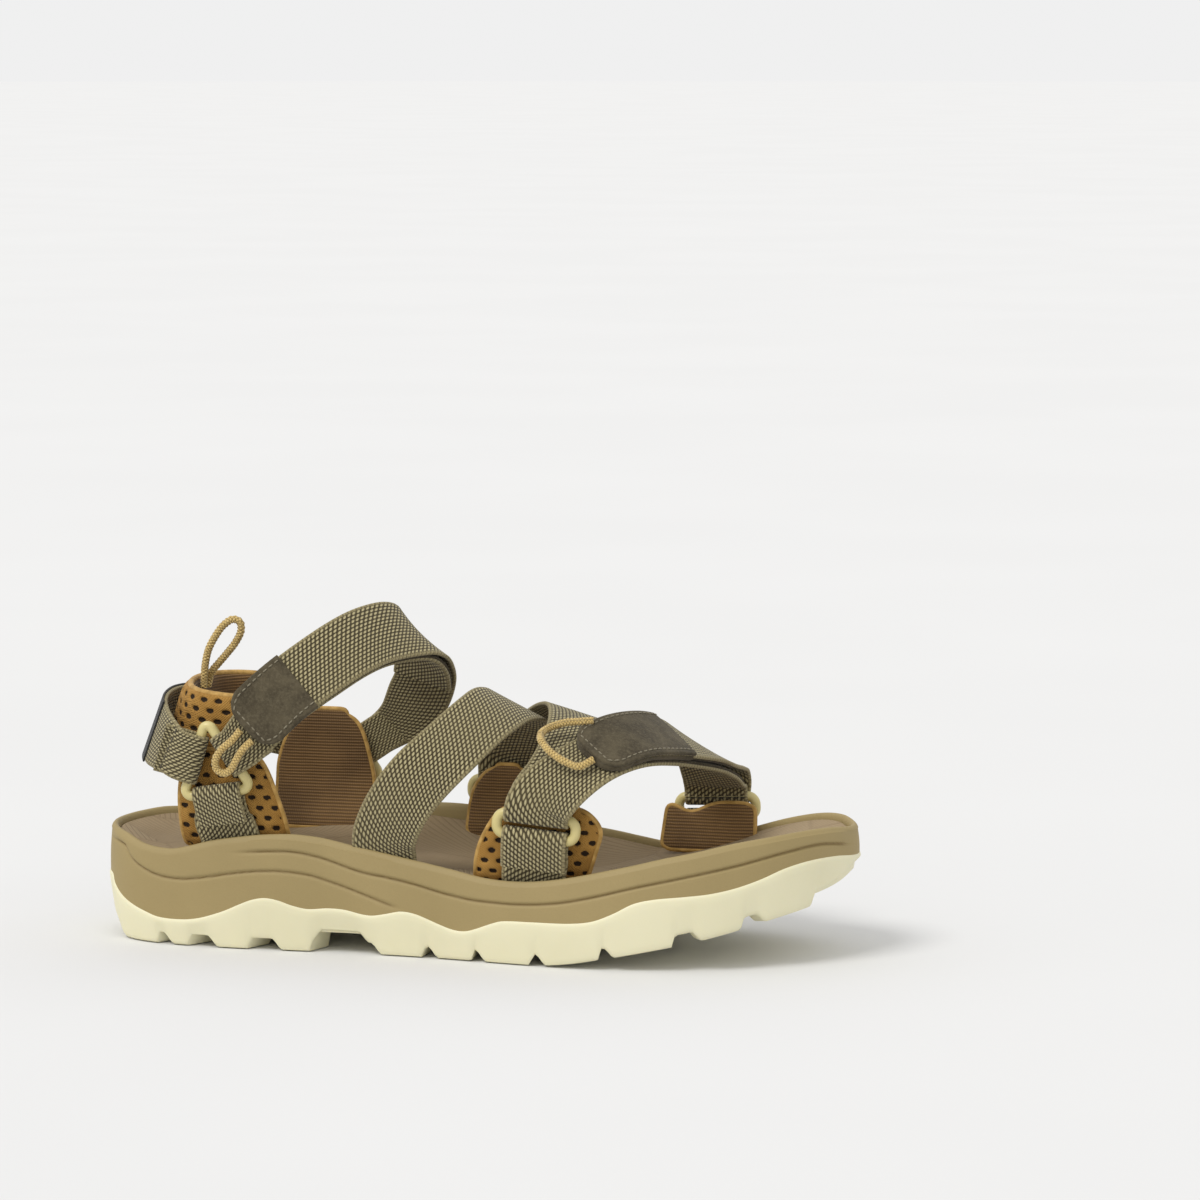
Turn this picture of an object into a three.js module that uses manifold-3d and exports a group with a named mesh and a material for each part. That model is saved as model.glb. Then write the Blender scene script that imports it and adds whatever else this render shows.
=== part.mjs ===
// Strappy sport sandal, right foot. Millimetres, +X toe, +Y inner (medial) side, +Z up.
// Lugged outsole, moulded midsole with a footbed set into it, six padded strap seats,
// webbing anchors, five rings, a heel strap, an ankle strap and a zig-zag forefoot strap,
// two hook-and-loop flaps with pull tabs, and three cord pull loops.
import * as THREE from 'three';
import { mergeVertices } from 'three/addons/utils/BufferGeometryUtils.js';
import Module from 'manifold-3d';

const wasm = await Module();
wasm.setup();

// ---------------------------------------------------------------- driving sizes
const LENGTH = 295;            // overall sole length
const GAP = 0.3;               // clearance between touching pieces
const WEB_W = 25;              // webbing width
const WEB_T = 1.6;             // webbing thickness
const BAR_R = 1.5;             // ring bar radius
const CORD_D = 2.8;            // pull loop cord diameter
const LUG_D = 4.2;             // lug depth
const SHIFT = [-0.013, 0.134, 0];    // puts the bottom centre of the box on the origin

const V = (x, y, z) => new THREE.Vector3(x, y, z);

// piecewise cubic (Catmull-Rom, non-uniform) through [x, value] pairs
function table(pts) {
  const n = pts.length, m = new Array(n);
  for (let i = 0; i < n; i++) {
    const a = pts[Math.max(0, i - 1)], b = pts[Math.min(n - 1, i + 1)];
    m[i] = (b[1] - a[1]) / (b[0] - a[0]);
  }
  return (x) => {
    if (x <= pts[0][0]) return pts[0][1];
    if (x >= pts[n - 1][0]) return pts[n - 1][1];
    let i = 0;
    while (x > pts[i + 1][0]) i++;
    const h = pts[i + 1][0] - pts[i][0], t = (x - pts[i][0]) / h, t2 = t * t, t3 = t2 * t;
    return (2 * t3 - 3 * t2 + 1) * pts[i][1] + (t3 - 2 * t2 + t) * h * m[i]
      + (-2 * t3 + 3 * t2) * pts[i + 1][1] + (t3 - t2) * h * m[i + 1];
  };
}

// ---------------------------------------------------------------- sole curves
const LAT = [[-147.5, -1], [-144.5, -15], [-136, -26], [-122, -33.5], [-100, -37.5], [-75, -38.5], [-45, -38.5],
  [-10, -41], [25, -46.5], [55, -50], [80, -48.8], [105, -42.5], [125, -31], [139, -16], [147.5, 4]];
const MED = [[-147.5, -1], [-144.5, 13], [-136, 24], [-120, 32.5], [-95, 35.5], [-60, 33.5], [-20, 34.5],
  [15, 40.5], [45, 48], [70, 51], [95, 49], [118, 42.5], [134, 32], [144, 19], [147.5, 4]];
const RIM_L = table([[-147.5, 43], [-144, 42.6], [-136, 41.2], [-127, 38.2], [-116, 37.2], [-108.6, 38.5], [-97.5, 41.5], [-86.7, 43.3],
  [-76, 44.6], [-65, 45], [-53.7, 44], [-43, 41.9], [-32.4, 39.9], [-21.7, 38], [-11, 36.2], [0, 34.3], [10.5, 32.4],
  [20.8, 31.6], [31, 31.9], [41, 33.2], [51, 35.2], [61, 37.5], [71, 39.8], [83, 42.7], [94, 44.9], [108, 48],
  [121, 49.9], [133.5, 51.2], [141.4, 51], [147.5, 49.5]]);
const RIM_M = table([[-147.5, 43], [-143, 43.4], [-134.7, 44], [-120, 43], [-100, 44], [-80, 46], [-50, 48], [-21, 48],
  [-11, 47.3], [5, 44.8], [20, 41.8], [37, 38.6], [46, 36.8], [55, 34.8], [65, 33], [76, 33.4], [88, 36.4], [100, 40.4],
  [115, 45.2], [130, 49], [140, 50.2], [147.5, 49.5]]);
const OB_L = table([[-147.5, 24.5], [-142.6, 24.1], [-141.2, 20.9], [-136.9, 17.1], [-132, 14.6], [-125.4, 12.3], [-119, 10.6],
  [-109, 10.4], [-102.4, 11.3], [-96.8, 12.9], [-91.3, 14.9], [-86, 17.3], [-80.5, 19.5], [-75.2, 20.4], [-69.8, 19.6],
  [-64.5, 17.9], [-58.3, 16.8], [-50.3, 17.4], [-43.5, 17.1], [-37.2, 15.8], [-32.8, 15.4], [-27.4, 16.3], [-21, 17.6],
  [-15.5, 17], [-10.3, 15.3], [-4.8, 13.3], [0.6, 11.8], [5, 11.7], [8.7, 12.7], [15.2, 15.2], [20, 16.6], [31.7, 17],
  [46.8, 17.4], [55.8, 18.7], [63.7, 21.9], [71.4, 25.9], [79, 27.7], [90.2, 28.8], [99.4, 29.8], [108.4, 31.7],
  [117.2, 34.6], [125.7, 38.2], [134, 40.2], [141.9, 40.3], [147.5, 38.8]]);
const OB_M = table([[-147.5, 24.5], [-142.6, 24.1], [-138, 18.5], [-130, 14], [-119, 10.8], [-107, 11.2], [-95, 14], [-84, 18.5],
  [-74, 20.5], [-64, 18], [-50, 17.6], [-36, 17], [-22, 18], [-8, 15], [4, 12.2], [16, 14.8], [30, 17], [46, 17.4],
  [58, 18.4], [70, 22], [82, 26.4], [95, 29], [108, 32], [120, 36], [132, 39.6], [141, 40.2], [147.5, 38.8]]);
const ground = table([[-147.5, 9], [-144.5, 4.5], [-141, 1.6], [-136, 0.3], [-130, 0], [-60, 0], [0, 0], [32, 0], [45, 1.2], [60, 4],
  [75, 7], [90, 10.2], [105, 14], [120, 18.4], [133, 22], [142, 25.5], [147.5, 31]]);
const ZB = (x) => Math.max(0, ground(x));
const FB_C = table([[-147.5, 40], [-120, 36], [-90, 35.8], [-60, 36.6], [-30, 35], [0, 31], [25, 27.8], [50, 27.6], [75, 30.4],
  [100, 35.6], [120, 40.6], [135, 44], [147.5, 46]]);

function planCurve(pts) {
  const loopPts = pts.map((p) => V(p[0], p[1], 0));
  return loopPts;
}
// closed outline through both sides, then each side resampled by arc length from heel to toe
const OUT = new THREE.CatmullRomCurve3([...planCurve(LAT), ...planCurve(MED).reverse().slice(1, -1)], true, 'catmullrom', 0.5);
const OUT_N = LAT.length + MED.length - 2;
function side(which) {
  const N = 400, t1 = (LAT.length - 1) / OUT_N, pts = [];
  for (let i = 0; i <= N; i++) {
    const t = which < 0 ? (i / N) * t1 : 1 - (i / N) * (1 - t1);
    pts.push(OUT.getPoint(t % 1));
  }
  const s = [0];
  for (let i = 1; i <= N; i++) s.push(s[i - 1] + pts[i].distanceTo(pts[i - 1]));
  return (u) => {
    const w = u * s[N];
    let i = 0;
    while (i < N - 1 && s[i + 1] < w) i++;
    const f = (w - s[i]) / (s[i + 1] - s[i]);
    return pts[i].clone().lerp(pts[i + 1], f);
  };
}
const sideL = side(-1), sideM = side(1);
// plan position for u (heel 0 .. toe 1) and v (-1 outer edge .. 0 spine .. +1 inner edge), inset in mm from the edge
function plan(u, v, inset = 0) {
  const a = sideL(u), b = sideM(u);
  const s = V(0.78 * (a.x + b.x) / 2, (a.y + b.y) / 2, 0);
  const o = v < 0 ? a : b;
  const d = s.clone().sub(o), len = d.length();
  const f = (1 - Math.abs(v)) + Math.abs(v) * (inset / len);
  return o.clone().add(d.multiplyScalar(f));
}
const mix = (a, b, t) => a + (b - a) * t;
const wv = (v) => (v + 1) / 2;
const rim = (x, v) => mix(RIM_L(x), RIM_M(x), v < 0 ? 0 : 1);
const ob = (x, v) => mix(OB_L(x), OB_M(x), v < 0 ? 0 : 1);

function clean(geo) {
  geo.deleteAttribute('normal');
  geo.deleteAttribute('uv');
  let g = mergeVertices(geo, 1e-3);
  const idx = Array.from(g.index.array), p = g.attributes.position, out = [];
  for (let i = 0; i < idx.length; i += 3) {
    const [a, b, c] = [idx[i], idx[i + 1], idx[i + 2]];
    if (a !== b && b !== c && a !== c) out.push(a, b, c);
  }
  let vol = 0;
  const A = V(), B = V(), C = V();
  for (let i = 0; i < out.length; i += 3) {
    A.fromBufferAttribute(p, out[i]); B.fromBufferAttribute(p, out[i + 1]); C.fromBufferAttribute(p, out[i + 2]);
    vol += A.dot(B.clone().cross(C)) / 6;
  }
  if (vol < 0) for (let i = 0; i < out.length; i += 3) [out[i], out[i + 1]] = [out[i + 1], out[i]];
  g.setIndex(out);
  return g;
}
// closed solid from a stack of equal loops whose two end loops fold flat onto themselves
function foldedLoft(loops) {
  const K = loops[0].length, pos = [], idx = [];
  for (const l of loops) for (const q of l) pos.push(q.x, q.y, q.z);
  for (let i = 0; i < loops.length - 1; i++) for (let k = 0; k < K; k++) {
    const a = i * K + k, b = i * K + (k + 1) % K, c = a + K, d = b + K;
    idx.push(a, b, d, a, d, c);
  }
  const g = new THREE.BufferGeometry();
  g.setAttribute('position', new THREE.Float32BufferAttribute(pos, 3));
  g.setIndex(idx);
  return clean(g);
}
// box of segments bent by fn(u, v, w), each 0..1
function bent(nu, nv, nw, fn) {
  const g = new THREE.BoxGeometry(1, 1, 1, nu, nv, nw), p = g.attributes.position;
  for (let i = 0; i < p.count; i++) {
    const q = fn(p.getX(i) + 0.5, p.getY(i) + 0.5, p.getZ(i) + 0.5);
    p.setXYZ(i, q.x, q.y, q.z);
  }
  return clean(g);
}
const stations = (n) => Array.from({ length: n + 1 }, (_, i) => {
  const t = i / n;                                  // closer together at heel and toe
  return t + 0.35 * Math.sin(2 * Math.PI * t) / (-2 * Math.PI);
});

// ---------------------------------------------------------------- sole
const LIP = 3.2;               // outsole wall that wraps up round the midsole
const SLOT_IN = 7.2;           // strap slot runs between these two insets from the sole edge
const SLOT_OUT = 3.6;
const FB_T = 4.0;              // footbed thickness
function edgeV(u, v, mm) { // fraction towards the edge for a given inset
  const a = sideL(u), b = sideM(u);
  const s = V(0.78 * (a.x + b.x) / 2, (a.y + b.y) / 2, 0);
  return 1 - mm / s.distanceTo(v < 0 ? a : b);
}
function at(u, v, inset, z) { const q = plan(u, v, inset); q.z = z(q.x); return q; }
const baseTop = (x) => Math.min(ZB(x) + LUG_D + 4, Math.min(OB_L(x), OB_M(x)) - 1);
function edgeLift(u) { return 0; }
const footTop = (x, f, rz) => {
  const c = FB_C(x), e = Math.min(rz - 2.0, c + 9);
  return c + (e - c) * Math.pow(f, 3.2);
};
// one cross-section: list of [v-sign, inset, z(x)] from inner edge over the top to the outer edge and back below
function section(u, rows) {
  const loop = [];
  for (const [v, inset, zf] of rows) loop.push(at(u, v, inset, zf));
  return loop;
}
function soleRows(top, bottom, wallL, wallM) {
  return [...top, ...wallL, ...bottom, ...wallM];
}
const NU = 44;
function insets(u, v, list) { // list of fractions/insets -> plan inset in mm
  const a = sideL(u), b = sideM(u);
  const s = V(0.78 * (a.x + b.x) / 2, (a.y + b.y) / 2, 0);
  const len = s.distanceTo(v < 0 ? a : b);
  return list.map((k) => Math.min(k, len));
}
function buildSole(topFn, botFn, walls, topIn, botIn) {
  const loops = [];
  for (const u of stations(NU)) {
    const loop = [];
    const run = (v, list, fn, order) => {
      const L = insets(u, v, list);
      const seq = order ? L.slice().reverse() : L;
      const xe = (v < 0 ? sideL(u) : sideM(u)).x;
      for (const m of seq) {
        const q = plan(u, v, m);
        q.z = fn(q.x, v, m, xe);
        loop.push(q);
      }
    };
    // top: inner edge -> spine -> outer edge
    run(1, topIn, topFn, false);
    const xs = [sideL(u).x, sideM(u).x];
    const c = plan(u, 0); c.z = topFn(c.x, 0, 99, c.x); loop.push(c);
    run(-1, topIn, topFn, true);
    for (const [m, f] of walls) { const q = plan(u, -1, m); q.z = f(xs[0], -1); loop.push(q); }
    run(-1, botIn, botFn, false);
    const d = plan(u, 0); d.z = botFn(d.x, 0, 99, d.x); loop.push(d);
    run(1, botIn, botFn, true);
    for (const [m, f] of walls.slice().reverse()) { const q = plan(u, 1, m); q.z = f(xs[1], 1); loop.push(q); }
    loops.push(loop);
  }
  return foldedLoft(loops);
}
// outsole plate: lip round the midsole, thin plate below it
const outPlate = buildSole(
  (x, v, m, xe) => (m < LIP + 0.1 ? ob(xe, v) - 0.15 : baseTop(x)),
  (x) => ZB(x) + LUG_D,
  [[0, (x, v) => ob(x, v) - 1.2], [0.6, (x, v) => mix(ZB(x) + LUG_D, ob(x, v), 0.45)]],
  [0.5, LIP, LIP + 2.2], [1.6, 12]);
function toManifold(g) {
  return new wasm.Manifold(new wasm.Mesh({ numProp: 3, vertProperties: new Float32Array(g.attributes.position.array), triVerts: new Uint32Array(g.index.array) }));
}
function fromManifold(m) {
  const r = m.getMesh(), g = new THREE.BufferGeometry();
  g.setAttribute('position', new THREE.Float32BufferAttribute(Array.from(r.vertProperties), 3));
  g.setIndex(Array.from(r.triVerts));
  g.computeVertexNormals();
  return g;
}
// a lug: plan quad pushed down from the plate to the ground profile
function lug(corners, taper = 0.9) {
  const c = corners.reduce((s, q) => [s[0] + q[0] / corners.length, s[1] + q[1] / corners.length], [0, 0]);
  const sh = new THREE.Shape(corners.map((q) => new THREE.Vector2(q[0], q[1])));
  const g = new THREE.ExtrudeGeometry(sh, { depth: 1, bevelEnabled: false, steps: 1 });
  const p = g.attributes.position;
  for (let i = 0; i < p.count; i++) {
    let x = p.getX(i), y = p.getY(i);
    const low = p.getZ(i) < 0.5;
    if (low) { x = c[0] + (x - c[0]) * taper; y = c[1] + (y - c[1]) * taper; }
    p.setXYZ(i, x, y, low ? ZB(x) : ZB(x) + LUG_D + 1.4);
  }
  return clean(g);
}
const yL = (x) => { let lo = 0, hi = 1; for (let k = 0; k < 30; k++) { const m = (lo + hi) / 2; if (sideL(m).x < x) lo = m; else hi = m; } return sideL(lo).y; };
const yM = (x) => { let lo = 0, hi = 1; for (let k = 0; k < 30; k++) { const m = (lo + hi) / 2; if (sideM(m).x < x) lo = m; else hi = m; } return sideM(lo).y; };
const EDGE_LUGS = [[-140, -120], [-118, -106], [-99, -83], [-73, -58], [-33, -12], [-9.5, 8], [10, 32], [34, 58], [61, 86], [92, 112], [117, 132]];
let outM = toManifold(outPlate);
for (const [x0, x1] of EDGE_LUGS) {
  const depth = x1 < -50 ? 15 : 13;
  const a0 = yL(x0) + 1.9, a1 = yL(x1) + 1.9;
  outM = outM.add(toManifold(lug([[x0, a0], [x1, a1], [x1 - 2, a1 + depth], [x0 + 2, a0 + depth]])));
  const b0 = yM(x0) - 1.9, b1 = yM(x1) - 1.9;
  outM = outM.add(toManifold(lug([[x0, b0], [x0 + 2, b0 - depth], [x1 - 2, b1 - depth], [x1, b1]])));
}
for (const x of [-122, -104, -86, -68, -22, -2, 18, 38, 58, 78, 98, 116]) {
  const h = Math.min(16, (yM(x) - yL(x)) / 2 - 18), yc = (yM(x) + yL(x)) / 2;
  if (h < 5) continue;
  outM = outM.add(toManifold(lug([[x - 6, yc - h], [x + 1, yc - h], [x + 7, yc], [x + 1, yc + h], [x - 6, yc + h], [x, yc]])));
}
const outsoleGeo = fromManifold(outM);

// midsole: sits in the outsole cup, raised rim, slot for the straps, shelf for the footbed
const shelf = (x) => Math.min(FB_C(x) - FB_T, Math.min(RIM_L(x), RIM_M(x)) - FB_T - 3);
const midsoleGeo = buildSole(
  (x, v, m, xe) => (m < SLOT_OUT + 0.01 ? rim(xe, v) - (m < 2.2 ? 0.4 : m > 3 ? 0.5 : 0) : shelf(x) - 0.9),
  (x, v, m, xe) => (m < LIP + 1.4 ? ob(xe, v) + GAP : baseTop(x) + 1.1),
  [[1.1, (x, v) => rim(x, v) - 1.6], [0.9, (x, v) => mix(ob(x, v), rim(x, v), 0.55)], [0.25, (x, v) => ob(x, v) + GAP + 0.6]],
  [1.8, 2.6, SLOT_OUT, SLOT_OUT + 0.5, 15], [0.4, LIP + 1.2, LIP + 4.2]);
// footbed: dished slab inside the slot
function footbedAt(u, f, v, inset) {
  const q = plan(u, v, inset);
  return q;
}
const FB_IN = SLOT_IN;
const footLoops = [];
for (const u of stations(NU)) {
  const loop = [];
  const fr = [1, 0.9, 0.72, 0.4];
  const row = (v, f, under) => {
    const a = v < 0 ? sideL(u) : sideM(u), b0 = v < 0 ? sideM(u) : sideL(u);
    const s = V(0.78 * (a.x + b0.x) / 2, (a.y + b0.y) / 2, 0);
    const len = s.distanceTo(a);
    const q = s.clone().lerp(a, (1 - FB_IN / len) * f);
    q.z = under ? shelf(q.x) + GAP : footTop(q.x, f, rim(a.x, v));
    return q;
  };
  for (const f of fr) loop.push(row(1, f, false));
  loop.push(row(1, 0, false));
  for (const f of fr.slice().reverse()) loop.push(row(-1, f, false));
  for (const f of [1, 0.76]) loop.push(row(-1, f, true));
  loop.push(row(1, 0, true));
  for (const f of [0.76, 1]) loop.push(row(1, f, true));
  footLoops.push(loop);
}
const footbedGeo = foldedLoft(footLoops);

// ---------------------------------------------------------------- ribbons
// stations: [x, y, z, wx, wy, wz] centre and width direction; side: +1/-1 picks the outward face
function ribbonFrame(st, sideSign) {
  const C = new THREE.CatmullRomCurve3(st.map((s) => V(s[0], s[1], s[2])), false, 'centripetal');
  const W = new THREE.CatmullRomCurve3(st.map((s) => V(s[3], s[4], s[5]).normalize().multiplyScalar(100)), false, 'catmullrom', 0.5);
  return (t) => {
    const c = C.getPoint(t), e = 0.002;
    const tan = C.getPoint(Math.min(1, t + e)).sub(C.getPoint(Math.max(0, t - e))).normalize();
    let w = W.getPoint(t).normalize();
    w = w.sub(tan.clone().multiplyScalar(w.dot(tan))).normalize();
    const n = tan.clone().cross(w).normalize().multiplyScalar(sideSign);
    return { c, tan, w, n };
  };
}
function ribbon(st, { width = WEB_W, o = [0, WEB_T], t = [0, 1], per = 2, nw = 1, sideSign = 1, crown = 0, shape = null, ends = null }) {
  const fr = ribbonFrame(st, sideSign), n = (st.length - 1) * per, ts = [t[0]];
  for (let i = 0; i <= n; i++) if (i / n > t[0] + 0.25 / n && i / n < t[1] - 0.25 / n) ts.push(i / n);
  ts.push(t[1]);
  return bent(nw, 1, ts.length - 1, (a, b, l) => {
    const tt = ts[Math.round(l * (ts.length - 1))], f = fr(tt);
    const wd = (shape ? width * shape((tt - t[0]) / (t[1] - t[0])) : width) * (ends ? ends(tt * (st.length - 1), st.length - 1) : 1);
    return f.c.clone().addScaledVector(f.w, (a - 0.5) * wd).addScaledVector(f.n, mix(o[0], o[1], b) + crown * (1 - 4 * (a - 0.5) ** 2));
  });
}
// stations that wrap a strap end round a ring bar: out along dir on the outer face, round, back on the inner face
const R_WRAP = BAR_R + GAP;           // inner radius of the webbing on the bar
function wrap(bar, w, dir, nrm, tail, lead, base = 3) {
  const B = V(...bar), W = V(...w).normalize(), D = V(...dir);
  D.addScaledVector(W, -D.dot(W)).normalize();
  const N = V(...nrm);
  N.addScaledVector(W, -N.dot(W)).addScaledVector(D, -N.dot(D)).normalize();
  const R = R_WRAP, st = [];
  const push = (p) => st.push([p.x, p.y, p.z, W.x, W.y, W.z]);
  // inner tail, drawn towards the outer layer
  for (const s of [1, 0.66, 0.33]) push(B.clone().addScaledVector(D, base + tail * s).addScaledVector(N, -R + (2 * R - GAP) * s));
  for (let k = 0; k <= 6; k++) {
    const a = Math.PI * (1 - k / 6);
    push(B.clone().addScaledVector(N, R * Math.cos(a)).addScaledVector(D, -R * Math.sin(a)));
  }
  if (lead) push(B.clone().addScaledVector(D, lead).addScaledVector(N, R));
  return st;
}

// ---------------------------------------------------------------- rings
// closed bar bent round a rounded polygon: a torus whose centre line is the polygon
function ring(corners, rc, r = BAR_R) {
  const n = corners.length, pts = [], P = corners.map((q) => V(...q));
  for (let i = 0; i < n; i++) {
    const a = P[(i + n - 1) % n], b = P[i], c = P[(i + 1) % n];
    const d0 = a.clone().sub(b).normalize(), d1 = c.clone().sub(b).normalize();
    const half = Math.acos(Math.min(1, Math.max(-1, d0.dot(d1)))) / 2, R = rc * Math.tan(half);
    const bis = d0.clone().add(d1).normalize(), o = b.clone().addScaledVector(bis, rc / Math.cos(half));
    const s0 = b.clone().addScaledVector(d0, rc).sub(o), s1 = b.clone().addScaledVector(d1, rc).sub(o);
    for (let k = 0; k <= 3; k++) {
      const p = s0.clone().lerp(s1, k / 3).normalize().multiplyScalar(R);
      pts.push(o.clone().add(p));
    }
  }
  const N = pts.length, nrm = P[1].clone().sub(P[0]).cross(P[2].clone().sub(P[0])).normalize();
  const g = new THREE.TorusGeometry(1, 0.1, 8, N), p = g.attributes.position;
  for (let i = 0; i < p.count; i++) {
    const x = p.getX(i), y = p.getY(i), z = p.getZ(i);
    const k = (Math.round(Math.atan2(y, x) / (2 * Math.PI) * N) % N + N) % N, rad = Math.hypot(x, y) - 1;
    const e0 = pts[k].clone().sub(pts[(k + N - 1) % N]).normalize(), e1 = pts[(k + 1) % N].clone().sub(pts[k]).normalize();
    const out = e0.clone().add(e1).cross(nrm).normalize(), m = 1 / Math.max(0.6, out.dot(e0.clone().cross(nrm).normalize()));
    const q = pts[k].clone().addScaledVector(out, rad * 10 * r * m).addScaledVector(nrm, z * 10 * r);
    p.setXYZ(i, q.x, q.y, q.z);
  }
  return clean(g);
}

// ---------------------------------------------------------------- ring positions
const LH = { T: [-97.5, -39, 88.5], R: [-79.3, -39, 62.6], L: [-106.8, -39, 58.2] };   // outer heel ring, three sided
const MH = { T: [-64.9, 36.6, 80.4], R: [-48.6, 36.6, 56.4], L: [-77.6, 36.6, 53.0] };  // inner heel ring
const RING_H = 8;              // spacing of the two bars of a strap ring
const LF = { c: [33.5, -46.5, 53], w: [27, 0, -2.5] };      // outer forefoot ring: centre, bar direction
const MM = { c: [3.5, 36.6, 53.2], w: [27, 1.5, -0.5] };       // inner midfoot ring
const MF = { c: [84, 49, 47.5], w: [27, 0.5, 1.0] };        // inner front ring
const mid3 = (a, b) => [(a[0] + b[0]) / 2, (a[1] + b[1]) / 2, (a[2] + b[2]) / 2];
const sub3 = (a, b) => [a[0] - b[0], a[1] - b[1], a[2] - b[2]];
function bars(r) {
  const W = V(...r.w).normalize(), up = V(0, 0, 1); up.addScaledVector(W, -up.dot(W)).normalize();
  const c = V(...r.c), h = RING_H / 2, l = 15.2;
  const P = (s, k) => c.clone().addScaledVector(W, s * l).addScaledVector(up, k * h).toArray();
  return { top: c.clone().addScaledVector(up, h).toArray(), low: c.clone().addScaledVector(up, -h).toArray(),
    corners: [P(-1, 1), P(1, 1), P(1, -1), P(-1, -1)] };
}
const LFb = bars(LF), MMb = bars(MM), MFb = bars(MF);

// arc of a strap that passes round a bar from its inner side to its outer side, without a tail
function turn(bar, w, up, nrm) {
  const B = V(...bar), W = V(...w).normalize(), U = V(...up), st = [];
  U.addScaledVector(W, -U.dot(W)).normalize();
  const N = V(...nrm);
  N.addScaledVector(W, -N.dot(W)).addScaledVector(U, -N.dot(U)).normalize();
  for (let k = 0; k <= 6; k++) {
    const a = Math.PI * (1 - k / 6);
    const p = B.clone().addScaledVector(N, R_WRAP * Math.cos(a)).addScaledVector(U, -R_WRAP * Math.sin(a));
    st.push([p.x, p.y, p.z, W.x, W.y, W.z]);
  }
  return st;
}
const pair = (r, f) => [(r[0] + f[0]) / 2, (r[1] + f[1]) / 2, (r[2] + f[2]) / 2, f[0] - r[0], f[1] - r[1], f[2] - r[2]];
function outwardSign(st, t, ref) {
  const f = ribbonFrame(st, 1)(t);
  return f.n.dot(f.c.clone().sub(V(...ref))) > 0 ? 1 : -1;
}
function offsetStations(st, sign, d, k0, k1) {
  const fr = ribbonFrame(st, sign), out = [];
  for (let k = k0; k <= k1; k++) {
    const f = fr(k / (st.length - 1));
    const c = f.c.clone().addScaledVector(f.n, d);
    out.push([c.x, c.y, c.z, f.w.x, f.w.y, f.w.z]);
  }
  return out;
}

// ---------------------------------------------------------------- ankle strap
const PGAP = 0.5, PATCH = 0.4;     // clearance round the patches, patch thickness
const LAYER = WEB_T + PGAP + PATCH + PGAP + PATCH + PGAP;   // from one webbing layer, over both hook-and-loop patches, to the next
const ANKLE = [
  pair([-88.5, -44.2, 95.5], [-71.5, -45.2, 77.0]),
  pair([-73.5, -38.5, 108.5], [-57.8, -42.5, 91.8]),
  pair([-59.1, -30.5, 119.6], [-47.4, -36.0, 100.3]),
  pair([-49.0, -22.5, 126.3], [-38.6, -29.0, 106.6]),
  pair([-42.8, -15.0, 129.0], [-31.3, -20.5, 110.4]),
  pair([-37.0, -7.5, 129.3], [-24.4, -11.0, 112.2]),
  pair([-33.8, 0.5, 127.0], [-18.8, -2.0, 111.3]),
  pair([-33.0, 8.5, 121.5], [-15.8, 6.0, 108.0]),
  pair([-34.5, 16.0, 113.0], [-14.6, 14.0, 102.0]),
  pair([-38.2, 22.5, 103.5], [-15.2, 21.0, 95.5]),
  pair([-43.5, 28.5, 94.5], [-20.0, 28.0, 85.5]),
  pair([-50.2, 33.5, 87.0], [-29.5, 34.5, 73.5]),
];
const mhTR = mid3(MH.T, MH.R), mhW = sub3(MH.R, MH.T);
const mhDir = [-mhW[2], 0, mhW[0]];
const ankleWrap = wrap(mhTR, mhW, mhDir, [0, 1, 0], 14, 7).reverse();
const ankleSt = [...ANKLE, ...ankleWrap];
const ankleSign = outwardSign(ankleSt, 5 / (ankleSt.length - 1), [-60, 0, 60]);
const aT = (k) => k / (ankleSt.length - 1);
const HINGE_A = 6.6;           // station where the ankle flap folds
const lhTR = mid3(LH.T, LH.R), lhW = sub3(LH.R, LH.T);
const underCore = offsetStations(ankleSt, ankleSign, -LAYER, 1, 9);
const pinchStart = (k0, k1, f) => (k) => (k <= k0 ? f : k >= k1 ? 1 : f + (1 - f) * (k - k0) / (k1 - k0));
const pinchEnd = (k0, k1, f) => (k, n) => pinchStart(k0, k1, f)(n - k);
const underSt = [...wrap(lhTR, lhW, [-lhW[2], 0, lhW[0]], [0, -1, 0], 12, 6), ...underCore];
const underSign = outwardSign(underSt, 14 / (underSt.length - 1), [-60, 0, 60]);

// ---------------------------------------------------------------- heel strap
const heelSt = [
  ...wrap(mid3(LH.L, LH.T), sub3(LH.T, LH.L), [-27.6, 0, 8.4], [0, -1, 0], 11, 6),
  [-112.5, -37.8, 77.4, 9, 0, 26], [-118.6, -30, 79.8, 9, 0, 25], [-123.4, -18, 81.6, 9, 0, 24.5], [-125.6, -6, 82.6, 9, 0, 24],
  [-125.8, 5, 82.8, 9, 0, 24], [-123.6, 16, 82.2, 9, 0, 24], [-118, 26, 80.6, 9.4, 0, 24], [-108, 33.2, 78, 9.8, 0, 24],
  [-95, 37, 74.8, 10.4, 0, 24],
  ...wrap(mid3(MH.L, MH.T), sub3(MH.T, MH.L), [-24.4, 0, 11.2], [0, 1, 0], 11, 8).reverse(),
];
const heelSign = outwardSign(heelSt, 0.5, [-60, 0, 80]);

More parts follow.
